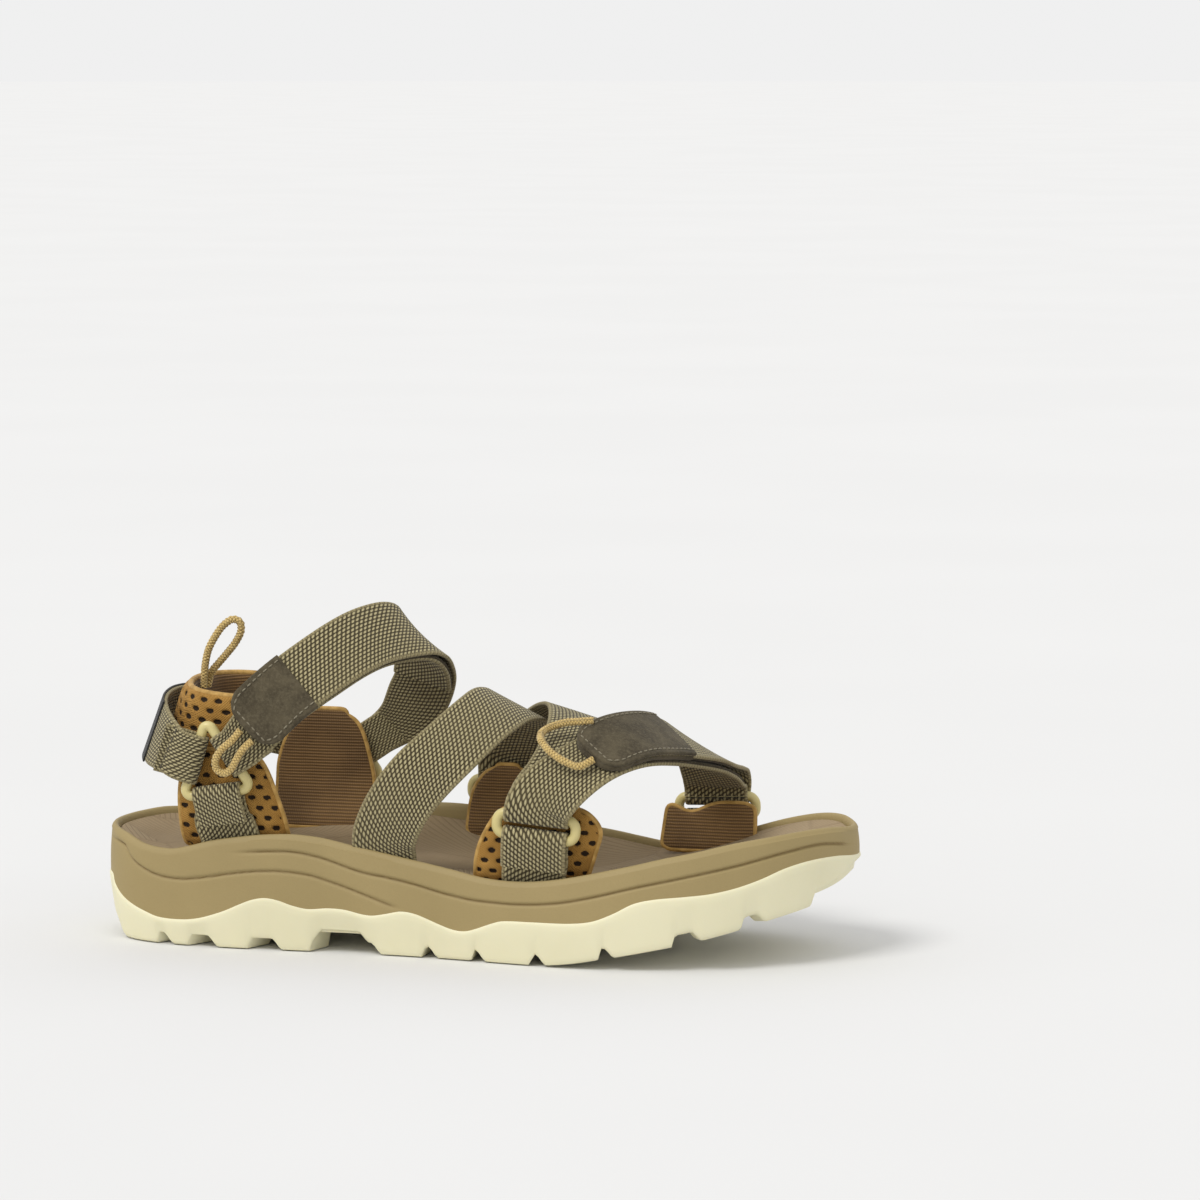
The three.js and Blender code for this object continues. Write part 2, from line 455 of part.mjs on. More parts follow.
// ---------------------------------------------------------------- zig-zag strap
// a strap station that lies against the inner side of a ring's upper bar
function beside(b, r, inward, lift) {
  const W = V(...r.w).normalize(), U = V(0, 0, 1); U.addScaledVector(W, -U.dot(W)).normalize();
  const N = V(0, inward, 0); N.addScaledVector(W, -N.dot(W)).addScaledVector(U, -N.dot(U)).normalize();
  const p = V(...b.top).addScaledVector(U, lift).addScaledVector(N, R_WRAP + WEB_T);
  return [p.x, p.y, p.z, W.x, W.y, W.z];
}
const midRun = [
  [-28.6, -33.4, 32.2, 1, 0, -0.03],
  [-28.4, -34.0, 38, 1, 0, -0.03],
  pair([-40.4, -36.6, 45.5], [-15.2, -37.4, 44.2]),
  pair([-34.6, -39.6, 60.0], [-10.6, -40.6, 52.5]),
  pair([-25.5, -39.6, 73.4], [-3.8, -40.6, 61.5]),
  pair([-10.6, -34, 86.2], [5.3, -39.2, 72.9]),
  pair([0, -22.5, 96.3], [16.6, -29, 84.6]),
  pair([2.2, -14, 98.8], [22.6, -16, 88.0]),
  pair([4.0, -1, 96.4], [26.4, -1, 85.6]),
  pair([0.5, 13, 88.6], [26.0, 12, 79.2]),
  pair([-5.5, 25, 77.6], [21.5, 24.5, 71.0]),
  pair([-9.2, 32.2, 66.5], [16.8, 33, 63.2]),
  beside(MMb, MM, -1, 3.6), beside(MMb, MM, -1, 0.4),
];
const midSign = outwardSign(midRun, 0.5, [0, 0, 40]);
const crossRun = [
  ...turn(MMb.top, MM.w, [0, 0, 1], [0, 1, 0]),
  [4.4, 39.4, 61.5, 27, 1.5, -1], [9.0, 38.4, 68.8, 25, 4, -6], [18.4, 32.6, 77.4, 24, 6, -7], [28.0, 20.5, 84.6, 24, 5, -7],
  [36.2, 6.0, 88.2, 24, 2, -7], [41.6, -9, 88.4, 24, 0, -7.5], [44.4, -22.5, 85.6, 24.4, -2, -7], [43.6, -34.5, 79.2, 24.6, -3, -6],
  [39.6, -41.6, 70, 26, -1, -4],
  beside(LFb, LF, 1, 4.6), beside(LFb, LF, 1, 0.4),
];
const crossSign = outwardSign(crossRun, 0.6, [20, 0, 40]);
const frontRun = [
  ...turn(LFb.top, LF.w, [0, 0, 1], [0, -1, 0]),
  [35.2, -48.8, 61.5, 27, 0, -3], [42.2, -47.4, 69.2, 25, -4, -6], [52.6, -41.2, 76.8, 22, -8, -9], [62.4, -29.2, 80.8, 20, -8, -12],
  [70.0, -14.0, 80.2, 20, -4, -14], [76.0, 2.0, 76.6, 20, 0, -14], [80.4, 17.0, 71.2, 21, 1, -12], [83.0, 30.0, 64.4, 23, 1, -8],
  [84.0, 39.6, 58.0, 26, 0.5, -3],
  beside(MFb, MF, -1, 3.4), beside(MFb, MF, -1, 0.4),
];
const frontSign = outwardSign(frontRun, 0.6, [60, 0, 40]);
const flapCore = offsetStations(frontRun, frontSign, LAYER + 0.4, 9, 15).reverse();
const flapSt = [...turn(MFb.top, MF.w, [0, 0, 1], [0, 1, 0]), [84.6, 50.2, 57.2, 27, 0.5, 0], [84.6, 45.0, 64.0, 24, 0.5, -5], ...flapCore.slice(1)];
const flapSign = outwardSign(flapSt, 0.7, [60, 0, 40]);
const fT = (k) => k / (flapSt.length - 1);
const HINGE_F = 9.0;           // station where the forefoot flap folds

// ---------------------------------------------------------------- anchors and pads
const anchor = (bar, w, out, pts, tail = 9, lead = 5, base = 3) => [...wrap(bar, w, [0, 0, -1], [0, -out, 0], tail, lead, base), ...pts];
const latHeelAnchor = anchor(mid3(LH.L, LH.R), sub3(LH.R, LH.L), -1, [[-92, -36.4, 50, 24, 0, 2], [-90, -34.2, 42.5, 25, 0, 0], [-89.4, -32.9, 36, 25, 0, 0], [-89.4, -32.8, 32.8, 25, 0, 0]]);
const medHeelAnchor = anchor(mid3(MH.L, MH.R), sub3(MH.R, MH.L), 1, [[-63.4, 33.6, 47.5, 29, 0, 3], [-64, 29.8, 42, 25, 0, 1], [-64, 27.4, 37, 25, 0, 0], [-64, 27.2, 33.4, 25, 0, 0]], 3, 4);
const latForeAnchor = anchor(LFb.low, LF.w, -1, [[32.6, -44.2, 40, 27, 0, -1], [31.4, -43.2, 34, 25, -2, 0], [31, -41.8, 29.5, 25, -2.8, 0], [31, -41.6, 25, 25, -2.8, 0]]);
const medMidAnchor = anchor(MMb.low, MM.w, 1, [[3, 34.2, 42.5, 27, 2, -0.5], [2.6, 33.6, 38, 25, 3, 0], [2.4, 33.1, 33, 25, 4, 0], [2.4, 33.0, 28.4, 25, 4, 0]], 0.6, 3, 1.2);
const medFrontAnchor = anchor(MFb.low, MF.w, 1, [[84, 45.4, 39.0, 27, 0, 0.5], [84, 44.9, 36.0, 25, -1, 0], [84, 44.6, 33, 25, -1.2, 0], [84, 44.5, 29.4, 25, -1.2, 0]], 0.5, 3);

// padded seat: a slab between a rear and a front profile, bent to the foot
function pad({ xr, xf, y, z0, z1, t = 3.6, out, nx = 6, nz = 8, topRound = 0, bow = 0 }) {
  const XR = table(xr), XF = table(xf), Y = table(y), Z1 = typeof z1 === 'function' ? z1 : () => z1, Z0 = typeof z0 === 'function' ? z0 : () => z0;
  return bent(nx, 1, nz, (a, b, c) => {
    let z = mix(0, 1, c);
    const xm = mix(XR(mix(Z0(0), Z1(0), c)), XF(mix(Z0(0), Z1(0), c)), a);
    z = mix(Z0(xm), Z1(xm), c);
    const x = mix(XR(z), XF(z), a);
    const pinch = 1 - 0.35 * Math.pow(Math.abs(2 * a - 1), 4) - (c > 0.98 ? topRound : 0);
    return V(x, Y(z) + out * (bow * (1 - (2 * a - 1) ** 2) + t * (0.5 + (b - 0.5) * pinch)), z);
  });
}
const pads = {
  lateral_heel_pad: pad({ xr: [[38, -110], [60, -110], [76, -107.5]], xf: [[38, -67.5], [50, -69], [65, -74], [76, -79]],
    y: [[38, -25.0], [46, -28.4], [54, -30.2], [60, -30.7], [76, -30.6]], z0: 43.6, z1: 76, out: -1 }),
  medial_ankle_pad: pad({ xr: [[38, -88.5], [60, -89], [70, -85.5], [78, -78.5], [84, -71]], xf: [[38, -49.5], [55, -50], [70, -54.5], [78, -59], [84, -63]],
    y: [[38, 19.0], [46, 24.6], [54, 27.6], [60, 28.4], [84, 28.2]], z0: 46.4, z1: 84, out: 1 }),
  medial_mid_pad: pad({ xr: [[34, -12], [52, -10], [60, -5.5], [64, -1]], xf: [[34, 17], [52, 16], [60, 13], [64, 9]],
    y: [[34, 23.6], [44, 27.2], [52, 28.5], [64, 28.5]], z0: 42.2, z1: 64, out: 1 }),
  lateral_forefoot_pad: pad({ xr: [[30, 7], [44, 10], [56, 16.5], [61, 21]], xf: [[30, 50], [44, 55], [52, 56.5], [61, 50]],
    y: [[30, -33.6], [38, -36.6], [48, -38.2], [61, -38.6]], z0: (x) => 31.0 + Math.max(0, x - 30) * 0.12, z1: 61, out: -1 }),
  medial_front_pad: pad({ xr: [[30, 64], [50, 65.5]], xf: [[30, 101], [50, 100]],
    y: [[30, 33.8], [40, 38.2], [46, 40.4], [50, 41.0]], z0: (x) => 34.9 + Math.max(0, x - 72) * 0.2, z1: (x) => 50 - 4.0 * Math.exp(-(((x - 75) / 7) ** 2)), out: 1, nx: 8 }),
};
const collarSt = [[-82, -29.0, 86.8, 0.2, 0, 1], [-94, -29.2, 86.8, 0.2, 0, 1], [-104, -25.6, 87.2, 0.25, 0, 1], [-111, -17.0, 87.8, 0.3, 0, 1], [-114, -6, 88.4, 0.3, 0, 1],
  [-114, 5, 88.6, 0.3, 0, 1], [-111.4, 16, 88.2, 0.3, 0, 1], [-105, 24.4, 87.6, 0.25, 0, 1], [-97, 28.6, 87.2, 0.2, 0, 1], [-91, 29.6, 87.0, 0.2, 0, 1]];
const collarSign = outwardSign(collarSt, 0.5, [-60, 0, 88]);

// ---------------------------------------------------------------- cords
function cordTube(pts, d = CORD_D, steps = 26) {
  const path = new THREE.CatmullRomCurve3(pts.map((p) => V(...p)), false, 'centripetal');
  const sh = new THREE.Shape();
  for (let i = 0; i < 8; i++) { const a = i / 8 * 2 * Math.PI; const x = d / 2 * Math.cos(a), y = d / 2 * Math.sin(a); i ? sh.lineTo(x, y) : sh.moveTo(x, y); }
  sh.closePath();
  return clean(new THREE.ExtrudeGeometry(sh, { steps, bevelEnabled: false, extrudePath: path }));
}
const heelPull = [[-109.7, -1.9, 95.5], [-109.5, -1.9, 100], [-109.0, -2.0, 105], [-107.6, -2.2, 110.5], [-105.0, -2.4, 115.4], [-101.4, -2.4, 120.2], [-97.6, -2.2, 122.6], [-95.0, -1.8, 121.6],
  [-94.6, -1.4, 118.4], [-97.0, -0.6, 113.6], [-100.8, 0.2, 109], [-104.4, 0.9, 105.0], [-107.6, 1.4, 101.2], [-109.3, 1.6, 95.5]];
const anklePull = [[-84.6, -46.4, 82.2], [-88.6, -46.6, 78.8], [-91.4, -46.2, 74.6], [-91.2, -45.8, 70.8], [-88.2, -45.8, 69.2], [-85.2, -46, 71.2], [-83.6, -46.4, 74.6], [-81.6, -46.6, 78.6]];

const box = (st, sign, opt) => ribbon(st, { sideSign: sign, ...opt });
const round = (a) => (l) => Math.sqrt(Math.max(0.12, 1 - Math.pow(1 - Math.min(1, l / a), 2.4)));
const parts = {};
const WEBC = 0x8f8868, RINGC = 0xc9bd7a, MESHC = 0x9a6b2c, SUEDE = 0x5c5647, PILE = 0x3a342a, CORDC = 0xc9aa62;
parts.outsole = [outsoleGeo, 0xe4e0b6, 0.75];
for (const [n, g] of Object.entries(pads)) parts[n] = [g, MESHC, 0.9];
parts.heel_collar = [box(collarSt, collarSign, { width: 20.6, o: [0, 4.0], nw: 2 }), MESHC, 0.9];
parts.lateral_heel_ring = [ring([LH.T, LH.R, LH.L], 4.0), RINGC, 0.45];
parts.medial_heel_ring = [ring([MH.T, MH.R, MH.L], 4.0), RINGC, 0.45];
parts.lateral_forefoot_ring = [ring(LFb.corners, 3.4), RINGC, 0.45];
parts.medial_midfoot_ring = [ring(MMb.corners, 3.4), RINGC, 0.45];
parts.medial_front_ring = [ring(MFb.corners, 3.4), RINGC, 0.45];
const anchors = { lateral_heel_anchor: [latHeelAnchor, 24, 0.7, 9], medial_heel_anchor: [medHeelAnchor, 23, 0.72, 9], lateral_forefoot_anchor: [latForeAnchor, 25, 1, 9], medial_midfoot_anchor: [medMidAnchor, 24, 1, 8], medial_front_anchor: [medFrontAnchor, 25, 1, 9] };
const slots = [];
for (const [n, [st, w, pinch, from]] of Object.entries(anchors)) {
  const B = n.startsWith('lateral') ? 1 : -1;
  const sgn = (() => { const f = ribbonFrame(st, 1)(9 / (st.length - 1)); return f.n.y * B > 0 ? 1 : -1; })();
  parts[n] = [box(st, sgn, { width: w, ends: pinchStart(9.8, 11.2, pinch) }), WEBC, 0.9];
  const low = st[st.length - 1].slice(); low[2] -= 0.8;
  slots.push(toManifold(box([...st.slice(from, -1), low], sgn, { width: w + 0.8, o: [-0.4, WEB_T + 0.4] })));
}
parts.heel_strap = [box(heelSt, heelSign, { width: 24.6, ends: (k, n) => Math.min(pinchStart(10.2, 11.6, 0.7)(k), pinchEnd(10.2, 11.6, 0.69)(k, n)) }), WEBC, 0.9];
parts.heel_label = [box(heelSt, heelSign, { width: 24, o: [WEB_T + GAP, WEB_T + GAP + 0.8], t: [12.4 / (heelSt.length - 1), 16.6 / (heelSt.length - 1)] }), 0x1c1b1a, 0.7];
parts.ankle_under_strap = [box(underSt, underSign, { ends: pinchStart(9.6, 11.2, 0.7) }), WEBC, 0.9];
parts.ankle_loop_patch = [box(underSt, underSign, { width: 21, o: [WEB_T + 0.5, WEB_T + 1.1], t: [12.5 / (underSt.length - 1), 16.5 / (underSt.length - 1)] }), PILE, 1];
parts.ankle_strap = [box(ankleSt, ankleSign, { t: [aT(HINGE_A + 0.06), 1], ends: pinchEnd(10.0, 11.8, 0.64) }), WEBC, 0.9];
parts.ankle_flap = [box(ankleSt, ankleSign, { t: [aT(0.12), aT(HINGE_A - 0.02)] }), WEBC, 0.9];
parts.ankle_hook_patch = [box(ankleSt, ankleSign, { width: 21, o: [-PGAP - PATCH, -PGAP], t: [aT(0.5), aT(3.5)] }), PILE, 1];
parts.ankle_tab = [box(ankleSt, ankleSign, { width: 26, o: [WEB_T + GAP, WEB_T + GAP + 1.2], t: [0, aT(1.3)], shape: round(0.35) }), SUEDE, 0.95];
parts.ankle_pull_cord = [cordTube(anklePull, 2.8, 18), CORDC, 0.8];
parts.heel_pull_cord = [cordTube(heelPull, 2.8, 26), CORDC, 0.8];
parts.midfoot_strap = [box(midRun, midSign, { }), WEBC, 0.9];
const midLow = midRun.slice(0, 4).map((q) => q.slice()); midLow[0][2] -= 0.8;
slots.push(toManifold(box(midLow, midSign, { width: WEB_W + 0.8, o: [-0.4, WEB_T + 0.4] })));
const cut = (g) => fromManifold(slots.reduce((m, c) => m.subtract(c), toManifold(g)).decompose().sort((a, b) => b.volume() - a.volume())[0]);
parts.midsole = [cut(midsoleGeo), 0xa58e5e, 0.8];
parts.footbed = [cut(footbedGeo), 0x9a8565, 0.85];
parts.cross_strap = [box(crossRun, crossSign, { }), WEBC, 0.9];
parts.forefoot_strap = [box(frontRun, frontSign, { nw: 2 }), WEBC, 0.9];
const kF = (k) => k / (frontRun.length - 1);
parts.forefoot_loop_patch = [box(frontRun, frontSign, { width: 21, o: [WEB_T + PGAP, WEB_T + PGAP + PATCH], t: [kF(9), kF(13)], nw: 2 }), PILE, 1];
parts.forefoot_turn = [box(flapSt, flapSign, { t: [0, fT(HINGE_F - 0.03)] }), WEBC, 0.9];
parts.forefoot_flap = [box(flapSt, flapSign, { t: [fT(HINGE_F + 0.03), fT(flapSt.length - 1)], nw: 2 }), WEBC, 0.9];
parts.forefoot_hook_patch = [box(flapSt, flapSign, { width: 21, o: [-PGAP - PATCH, -PGAP], t: [fT(HINGE_F + 3), fT(flapSt.length - 1.5)], nw: 2 }), PILE, 1];
parts.forefoot_tab = [box(flapSt, flapSign, { width: 26, o: [WEB_T + GAP, WEB_T + GAP + 1.2], t: [fT(flapSt.length - 2.6), 1], shape: (l) => round(0.35)(1 - l) }), SUEDE, 0.95];
const foreFoot = [[50.4, -48.6, 73.6], [45.5, -49.2, 77.4], [40.4, -48.2, 81.2], [36, -45, 84.4], [33.8, -40.4, 86.6], [34.4, -35.6, 88.2], [37.4, -33.2, 89.6], [41.0, -33.4, 90.4], [43.6, -33.8, 90.6]];
parts.forefoot_pull_cord = [cordTube(foreFoot, CORD_D, 18), CORDC, 0.8];

const group = new THREE.Group();
for (const [name, [geo, color, rough]] of Object.entries(parts)) {
  geo.computeVertexNormals();
  const m = new THREE.Mesh(geo, new THREE.MeshStandardMaterial({ color, roughness: rough, metalness: 0 }));
  m.name = name;
  m.position.set(...SHIFT);
  group.add(m);
}
export default group;
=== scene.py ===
import bpy
import math
import numpy as np
from mathutils import Vector, Matrix


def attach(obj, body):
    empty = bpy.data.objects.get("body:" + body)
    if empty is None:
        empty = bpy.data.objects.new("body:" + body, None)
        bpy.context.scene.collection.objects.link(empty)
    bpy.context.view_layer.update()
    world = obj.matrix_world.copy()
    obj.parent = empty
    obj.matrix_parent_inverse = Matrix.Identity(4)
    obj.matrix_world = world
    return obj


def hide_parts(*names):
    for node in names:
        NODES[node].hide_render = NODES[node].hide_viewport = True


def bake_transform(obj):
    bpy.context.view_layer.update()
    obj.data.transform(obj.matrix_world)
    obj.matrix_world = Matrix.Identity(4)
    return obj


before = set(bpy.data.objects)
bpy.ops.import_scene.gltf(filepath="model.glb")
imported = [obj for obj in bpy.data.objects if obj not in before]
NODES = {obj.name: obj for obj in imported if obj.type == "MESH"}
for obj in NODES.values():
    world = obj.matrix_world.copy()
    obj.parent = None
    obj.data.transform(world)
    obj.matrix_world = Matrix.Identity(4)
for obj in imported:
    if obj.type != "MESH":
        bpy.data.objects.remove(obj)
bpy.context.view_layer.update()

# ---------------------------------------------------------------- data, millimetres, in the frame before the shift
SHIFT = np.array([-0.013, 0.134, 0.0])
WEB_W, WEB_T, LAYER = 25.0, 1.6, 3.9
D = {
    "ankle": [[-80,-44.7,86.25,17,-1,-18.5],[-65.65,-40.5,100.15,15.7,-4,-16.7],[-53.25,-33.25,109.95,11.7,-5.5,-19.3],[-43.8,-25.75,116.45,10.4,-6.5,-19.7],[-37.05,-17.75,119.7,11.5,-5.5,-18.6],[-30.7,-9.25,120.75,12.6,-3.5,-17.1],[-26.3,-0.75,119.15,15,-2.5,-15.7],[-24.4,7.25,114.75,17.2,-2.5,-13.5],[-24.55,15,107.5,19.9,-2,-11],[-26.7,21.75,99.5,23,-1.5,-8],[-31.75,28.25,90,23.5,-0.5,-9],[-39.85,34,80.25,20.7,1,-13.5],[-50.959,38.4,72.333,0.562,0,-0.827],[-56.75,38.4,68.4,0.562,0,-0.827],[-57.495,38.159,67.894,0.562,0,-0.827],[-58.04,37.5,67.524,0.562,0,-0.827],[-58.239,36.6,67.389,0.562,0,-0.827],[-58.04,35.7,67.524,0.562,0,-0.827],[-57.495,35.041,67.894,0.562,0,-0.827],[-56.75,34.8,68.4,0.562,0,-0.827],[-50.446,35.889,72.681,0.562,0,-0.827],[-46.624,36.978,75.277,0.562,0,-0.827],[-42.687,38.1,77.951,0.562,0,-0.827]],
    "under": [[-76.127,-40.5,84.174,0.575,0,-0.818],[-79.465,-39.378,81.828,0.575,0,-0.818],[-82.705,-38.289,79.552,0.575,0,-0.818],[-88.4,-37.2,75.55,0.575,0,-0.818],[-89.136,-37.441,75.033,0.575,0,-0.818],[-89.675,-38.1,74.654,0.575,0,-0.818],[-89.873,-39,74.515,0.575,0,-0.818],[-89.675,-39.9,74.654,0.575,0,-0.818],[-89.136,-40.559,75.033,0.575,0,-0.818],[-88.4,-40.8,75.55,0.575,0,-0.818],[-83.491,-40.8,79,0.575,0,-0.818],[-66.102,-36.851,98.851,0.691,-0.165,-0.704],[-54.357,-29.884,108.32,0.651,-0.146,-0.745],[-45.548,-22.82,114.561,0.605,-0.144,-0.783],[-39.333,-15.394,117.592,0.535,-0.213,-0.817],[-33.395,-7.642,118.435,0.489,-0.338,-0.804],[-29.113,-0.673,116.45,0.606,-0.466,-0.645],[-26.724,5.586,112.097,0.797,-0.414,-0.439],[-26.112,12.293,105.167,0.91,-0.224,-0.349],[-27.623,18.567,97.444,0.923,-0.019,-0.384]],
    "heel": [[-115.534,-40.5,77.458,0.293,0,0.956],[-111.958,-39.378,76.36,0.293,0,0.956],[-108.488,-38.289,75.295,0.293,0,0.956],[-102.15,-37.2,73.35,0.293,0,0.956],[-101.29,-37.441,73.086,0.293,0,0.956],[-100.66,-38.1,72.893,0.293,0,0.956],[-100.429,-39,72.822,0.293,0,0.956],[-100.66,-39.9,72.893,0.293,0,0.956],[-101.29,-40.559,73.086,0.293,0,0.956],[-102.15,-40.8,73.35,0.293,0,0.956],[-107.886,-40.8,75.111,0.293,0,0.956],[-112.5,-37.8,77.4,9,0,26],[-118.6,-30,79.8,9,0,25],[-123.4,-18,81.6,9,0,24.5],[-125.6,-6,82.6,9,0,24],[-125.8,5,82.8,9,0,24],[-123.6,16,82.2,9,0,24],[-118,26,80.6,9.4,0,24],[-108,33.2,78,9.8,0,24],[-95,37,74.8,10.4,0,24],[-78.508,38.4,70.064,0.421,0,0.907],[-71.25,38.4,66.7,0.421,0,0.907],[-70.433,38.159,66.322,0.421,0,0.907],[-69.836,37.5,66.044,0.421,0,0.907],[-69.617,36.6,65.943,0.421,0,0.907],[-69.836,35.7,66.044,0.421,0,0.907],[-70.433,35.041,66.322,0.421,0,0.907],[-71.25,34.8,66.7,0.421,0,0.907],[-77.265,35.889,69.488,0.421,0,0.907],[-80.559,36.978,71.015,0.421,0,0.907],[-83.952,38.1,72.587,0.421,0,0.907]],
    "mid": [[-28.6,-33.4,32.2,1,0,-0.03],[-28.4,-34,38,1,0,-0.03],[-27.8,-37,44.85,25.2,-0.8,-1.3],[-22.6,-40.1,56.25,24,-1,-7.5],[-14.65,-40.1,67.45,21.7,-1,-11.9],[-2.65,-36.6,79.55,15.9,-5.2,-13.3],[8.3,-25.75,90.45,16.6,-6.5,-11.7],[12.4,-15,93.4,20.4,-2,-10.8],[15.2,-1,91,22.4,0,-10.8],[13.25,12.5,83.9,25.5,-1,-9.4],[8,24.75,74.3,27,-0.5,-6.6],[3.8,32.6,64.85,26,0.8,-3.3],[3.829,33.213,60.799,0.998,0.055,-0.018],[3.77,33.21,57.599,0.998,0.055,-0.018]],
    "cross": [[3.674,34.807,57.199,0.998,0.055,-0.018],[3.644,35.047,56.299,0.998,0.055,-0.018],[3.595,35.704,55.641,0.998,0.055,-0.018],[3.541,36.602,55.4,0.998,0.055,-0.018],[3.495,37.501,55.641,0.998,0.055,-0.018],[3.471,38.16,56.299,0.998,0.055,-0.018],[3.474,38.401,57.199,0.998,0.055,-0.018],[4.4,39.4,61.5,27,1.5,-1],[9,38.4,68.8,25,4,-6],[18.4,32.6,77.4,24,6,-7],[28,20.5,84.6,24,5,-7],[36.2,6,88.2,24,2,-7],[41.6,-9,88.4,24,0,-7.5],[44.4,-22.5,85.6,24.4,-2,-7],[43.6,-34.5,79.2,24.6,-3,-6],[39.6,-41.6,70,26,-1,-4],[34.293,-43.1,61.563,0.996,0,-0.092],[33.906,-43.1,57.381,0.996,0,-0.092]],
    "front": [[33.869,-44.7,56.983,0.996,0,-0.092],[33.786,-44.941,56.087,0.996,0,-0.092],[33.725,-45.6,55.431,0.996,0,-0.092],[33.703,-46.5,55.191,0.996,0,-0.092],[33.725,-47.4,55.431,0.996,0,-0.092],[33.786,-48.059,56.087,0.996,0,-0.092],[33.869,-48.3,56.983,0.996,0,-0.092],[35.2,-48.8,61.5,27,0,-3],[42.2,-47.4,69.2,25,-4,-6],[52.6,-41.2,76.8,22,-8,-9],[62.4,-29.2,80.8,20,-8,-12],[70,-14,80.2,20,-4,-14],[76,2,76.6,20,0,-14],[80.4,17,71.2,21,1,-12],[83,30,64.4,23,1,-8],[84,39.6,58,26,0.5,-3],[83.789,45.596,54.895,0.999,0.019,0.037],[83.9,45.598,51.897,0.999,0.019,0.037]],
    "flap": [[83.885,47.198,51.497,0.999,0.019,0.037],[83.914,47.439,50.598,0.999,0.019,0.037],[83.926,48.098,49.939,0.999,0.019,0.037],[83.919,48.998,49.698,0.999,0.019,0.037],[83.893,49.898,49.939,0.999,0.019,0.037],[83.856,50.556,50.598,0.999,0.019,0.037],[83.819,50.797,51.497,0.999,0.019,0.037],[84.6,50.2,57.2,27,0.5,0],[84.6,45,64,24,0.5,-5],[84.177,31.98,68.031,0.953,-0.249,-0.173],[82.423,18.097,74.832,0.854,-0.372,-0.364],[78.463,2.206,80.119,0.761,-0.403,-0.509],[72.37,-14.554,83.745,0.734,-0.394,-0.553],[64.01,-30.711,84.49,0.756,-0.421,-0.502],[53.001,-43.866,80.15,0.721,-0.498,-0.482]],
    "collar": [[-82,-29,86.8,0.2,0,1],[-94,-29.2,86.8,0.2,0,1],[-104,-25.6,87.2,0.25,0,1],[-111,-17,87.8,0.3,0,1],[-114,-6,88.4,0.3,0,1],[-114,5,88.6,0.3,0,1],[-111.4,16,88.2,0.3,0,1],[-105,24.4,87.6,0.25,0,1],[-97,28.6,87.2,0.2,0,1],[-91,29.6,87,0.2,0,1]],
    "LHA": [[-91.154,-37.5,48.551,0.987,0,0.158],[-91.638,-38.622,51.572,0.987,0,0.158],[-92.107,-39.711,54.505,0.987,0,0.158],[-93.05,-40.8,60.4,0.987,0,0.158],[-93.192,-40.559,61.289,0.987,0,0.158],[-93.296,-39.9,61.939,0.987,0,0.158],[-93.334,-39,62.177,0.987,0,0.158],[-93.296,-38.1,61.939,0.987,0,0.158],[-93.192,-37.441,61.289,0.987,0,0.158],[-93.05,-37.2,60.4,0.987,0,0.158],[-92.26,-37.2,55.463,0.987,0,0.158],[-92,-36.4,50,24,0,2],[-90,-34.2,42.5,25,0,0],[-89.4,-32.9,36,25,0,0],[-89.4,-32.8,32.8,25,0,0]],
    "MHA": [[-62.401,35.1,48.741,0.993,0,0.116],[-62.52,36.222,49.754,0.993,0,0.116],[-62.635,37.311,50.737,0.993,0,0.116],[-63.1,38.4,54.7,0.993,0,0.116],[-63.205,38.159,55.594,0.993,0,0.116],[-63.282,37.5,56.248,0.993,0,0.116],[-63.31,36.6,56.488,0.993,0,0.116],[-63.282,35.7,56.248,0.993,0,0.116],[-63.205,35.041,55.594,0.993,0,0.116],[-63.1,34.8,54.7,0.993,0,0.116],[-62.634,34.8,50.727,0.993,0,0.116],[-63.4,33.6,47.5,29,0,3],[-64,29.8,42,25,0,1],[-64,27.4,37,25,0,0],[-64,27.2,33.4,25,0,0]],
    "LFA": [[32.025,-45,37.068,0.996,0,-0.092],[32.307,-46.122,40.115,0.996,0,-0.092],[32.581,-47.211,43.072,0.996,0,-0.092],[33.131,-48.3,49.017,0.996,0,-0.092],[33.214,-48.059,49.913,0.996,0,-0.092],[33.275,-47.4,50.569,0.996,0,-0.092],[33.297,-46.5,50.809,0.996,0,-0.092],[33.275,-45.6,50.569,0.996,0,-0.092],[33.214,-44.941,49.913,0.996,0,-0.092],[33.131,-44.7,49.017,0.996,0,-0.092],[32.67,-44.7,44.038,0.996,0,-0.092],[32.6,-44.2,40,27,0,-1],[31.4,-43.2,34,25,-2,0],[31,-41.8,29.5,25,-2.8,0],[31,-41.6,25,25,-2.8,0]],
    "MMA": [[3.476,35.096,47.401,0.998,0.055,-0.018],[3.418,36.217,47.605,0.998,0.055,-0.018],[3.361,37.304,47.803,0.998,0.055,-0.018],[3.326,38.393,49.201,0.998,0.055,-0.018],[3.356,38.153,50.101,0.998,0.055,-0.018],[3.405,37.496,50.759,0.998,0.055,-0.018],[3.459,36.598,51,0.998,0.055,-0.018],[3.505,35.699,50.759,0.998,0.055,-0.018],[3.529,35.04,50.101,0.998,0.055,-0.018],[3.526,34.799,49.201,0.998,0.055,-0.018],[3.471,34.796,46.201,0.998,0.055,-0.018],[3,34.2,42.5,27,2,-0.5],[2.6,33.6,38,25,3,0],[2.4,33.1,33,25,4,0],[2.4,33,28.4,25,4,0]],
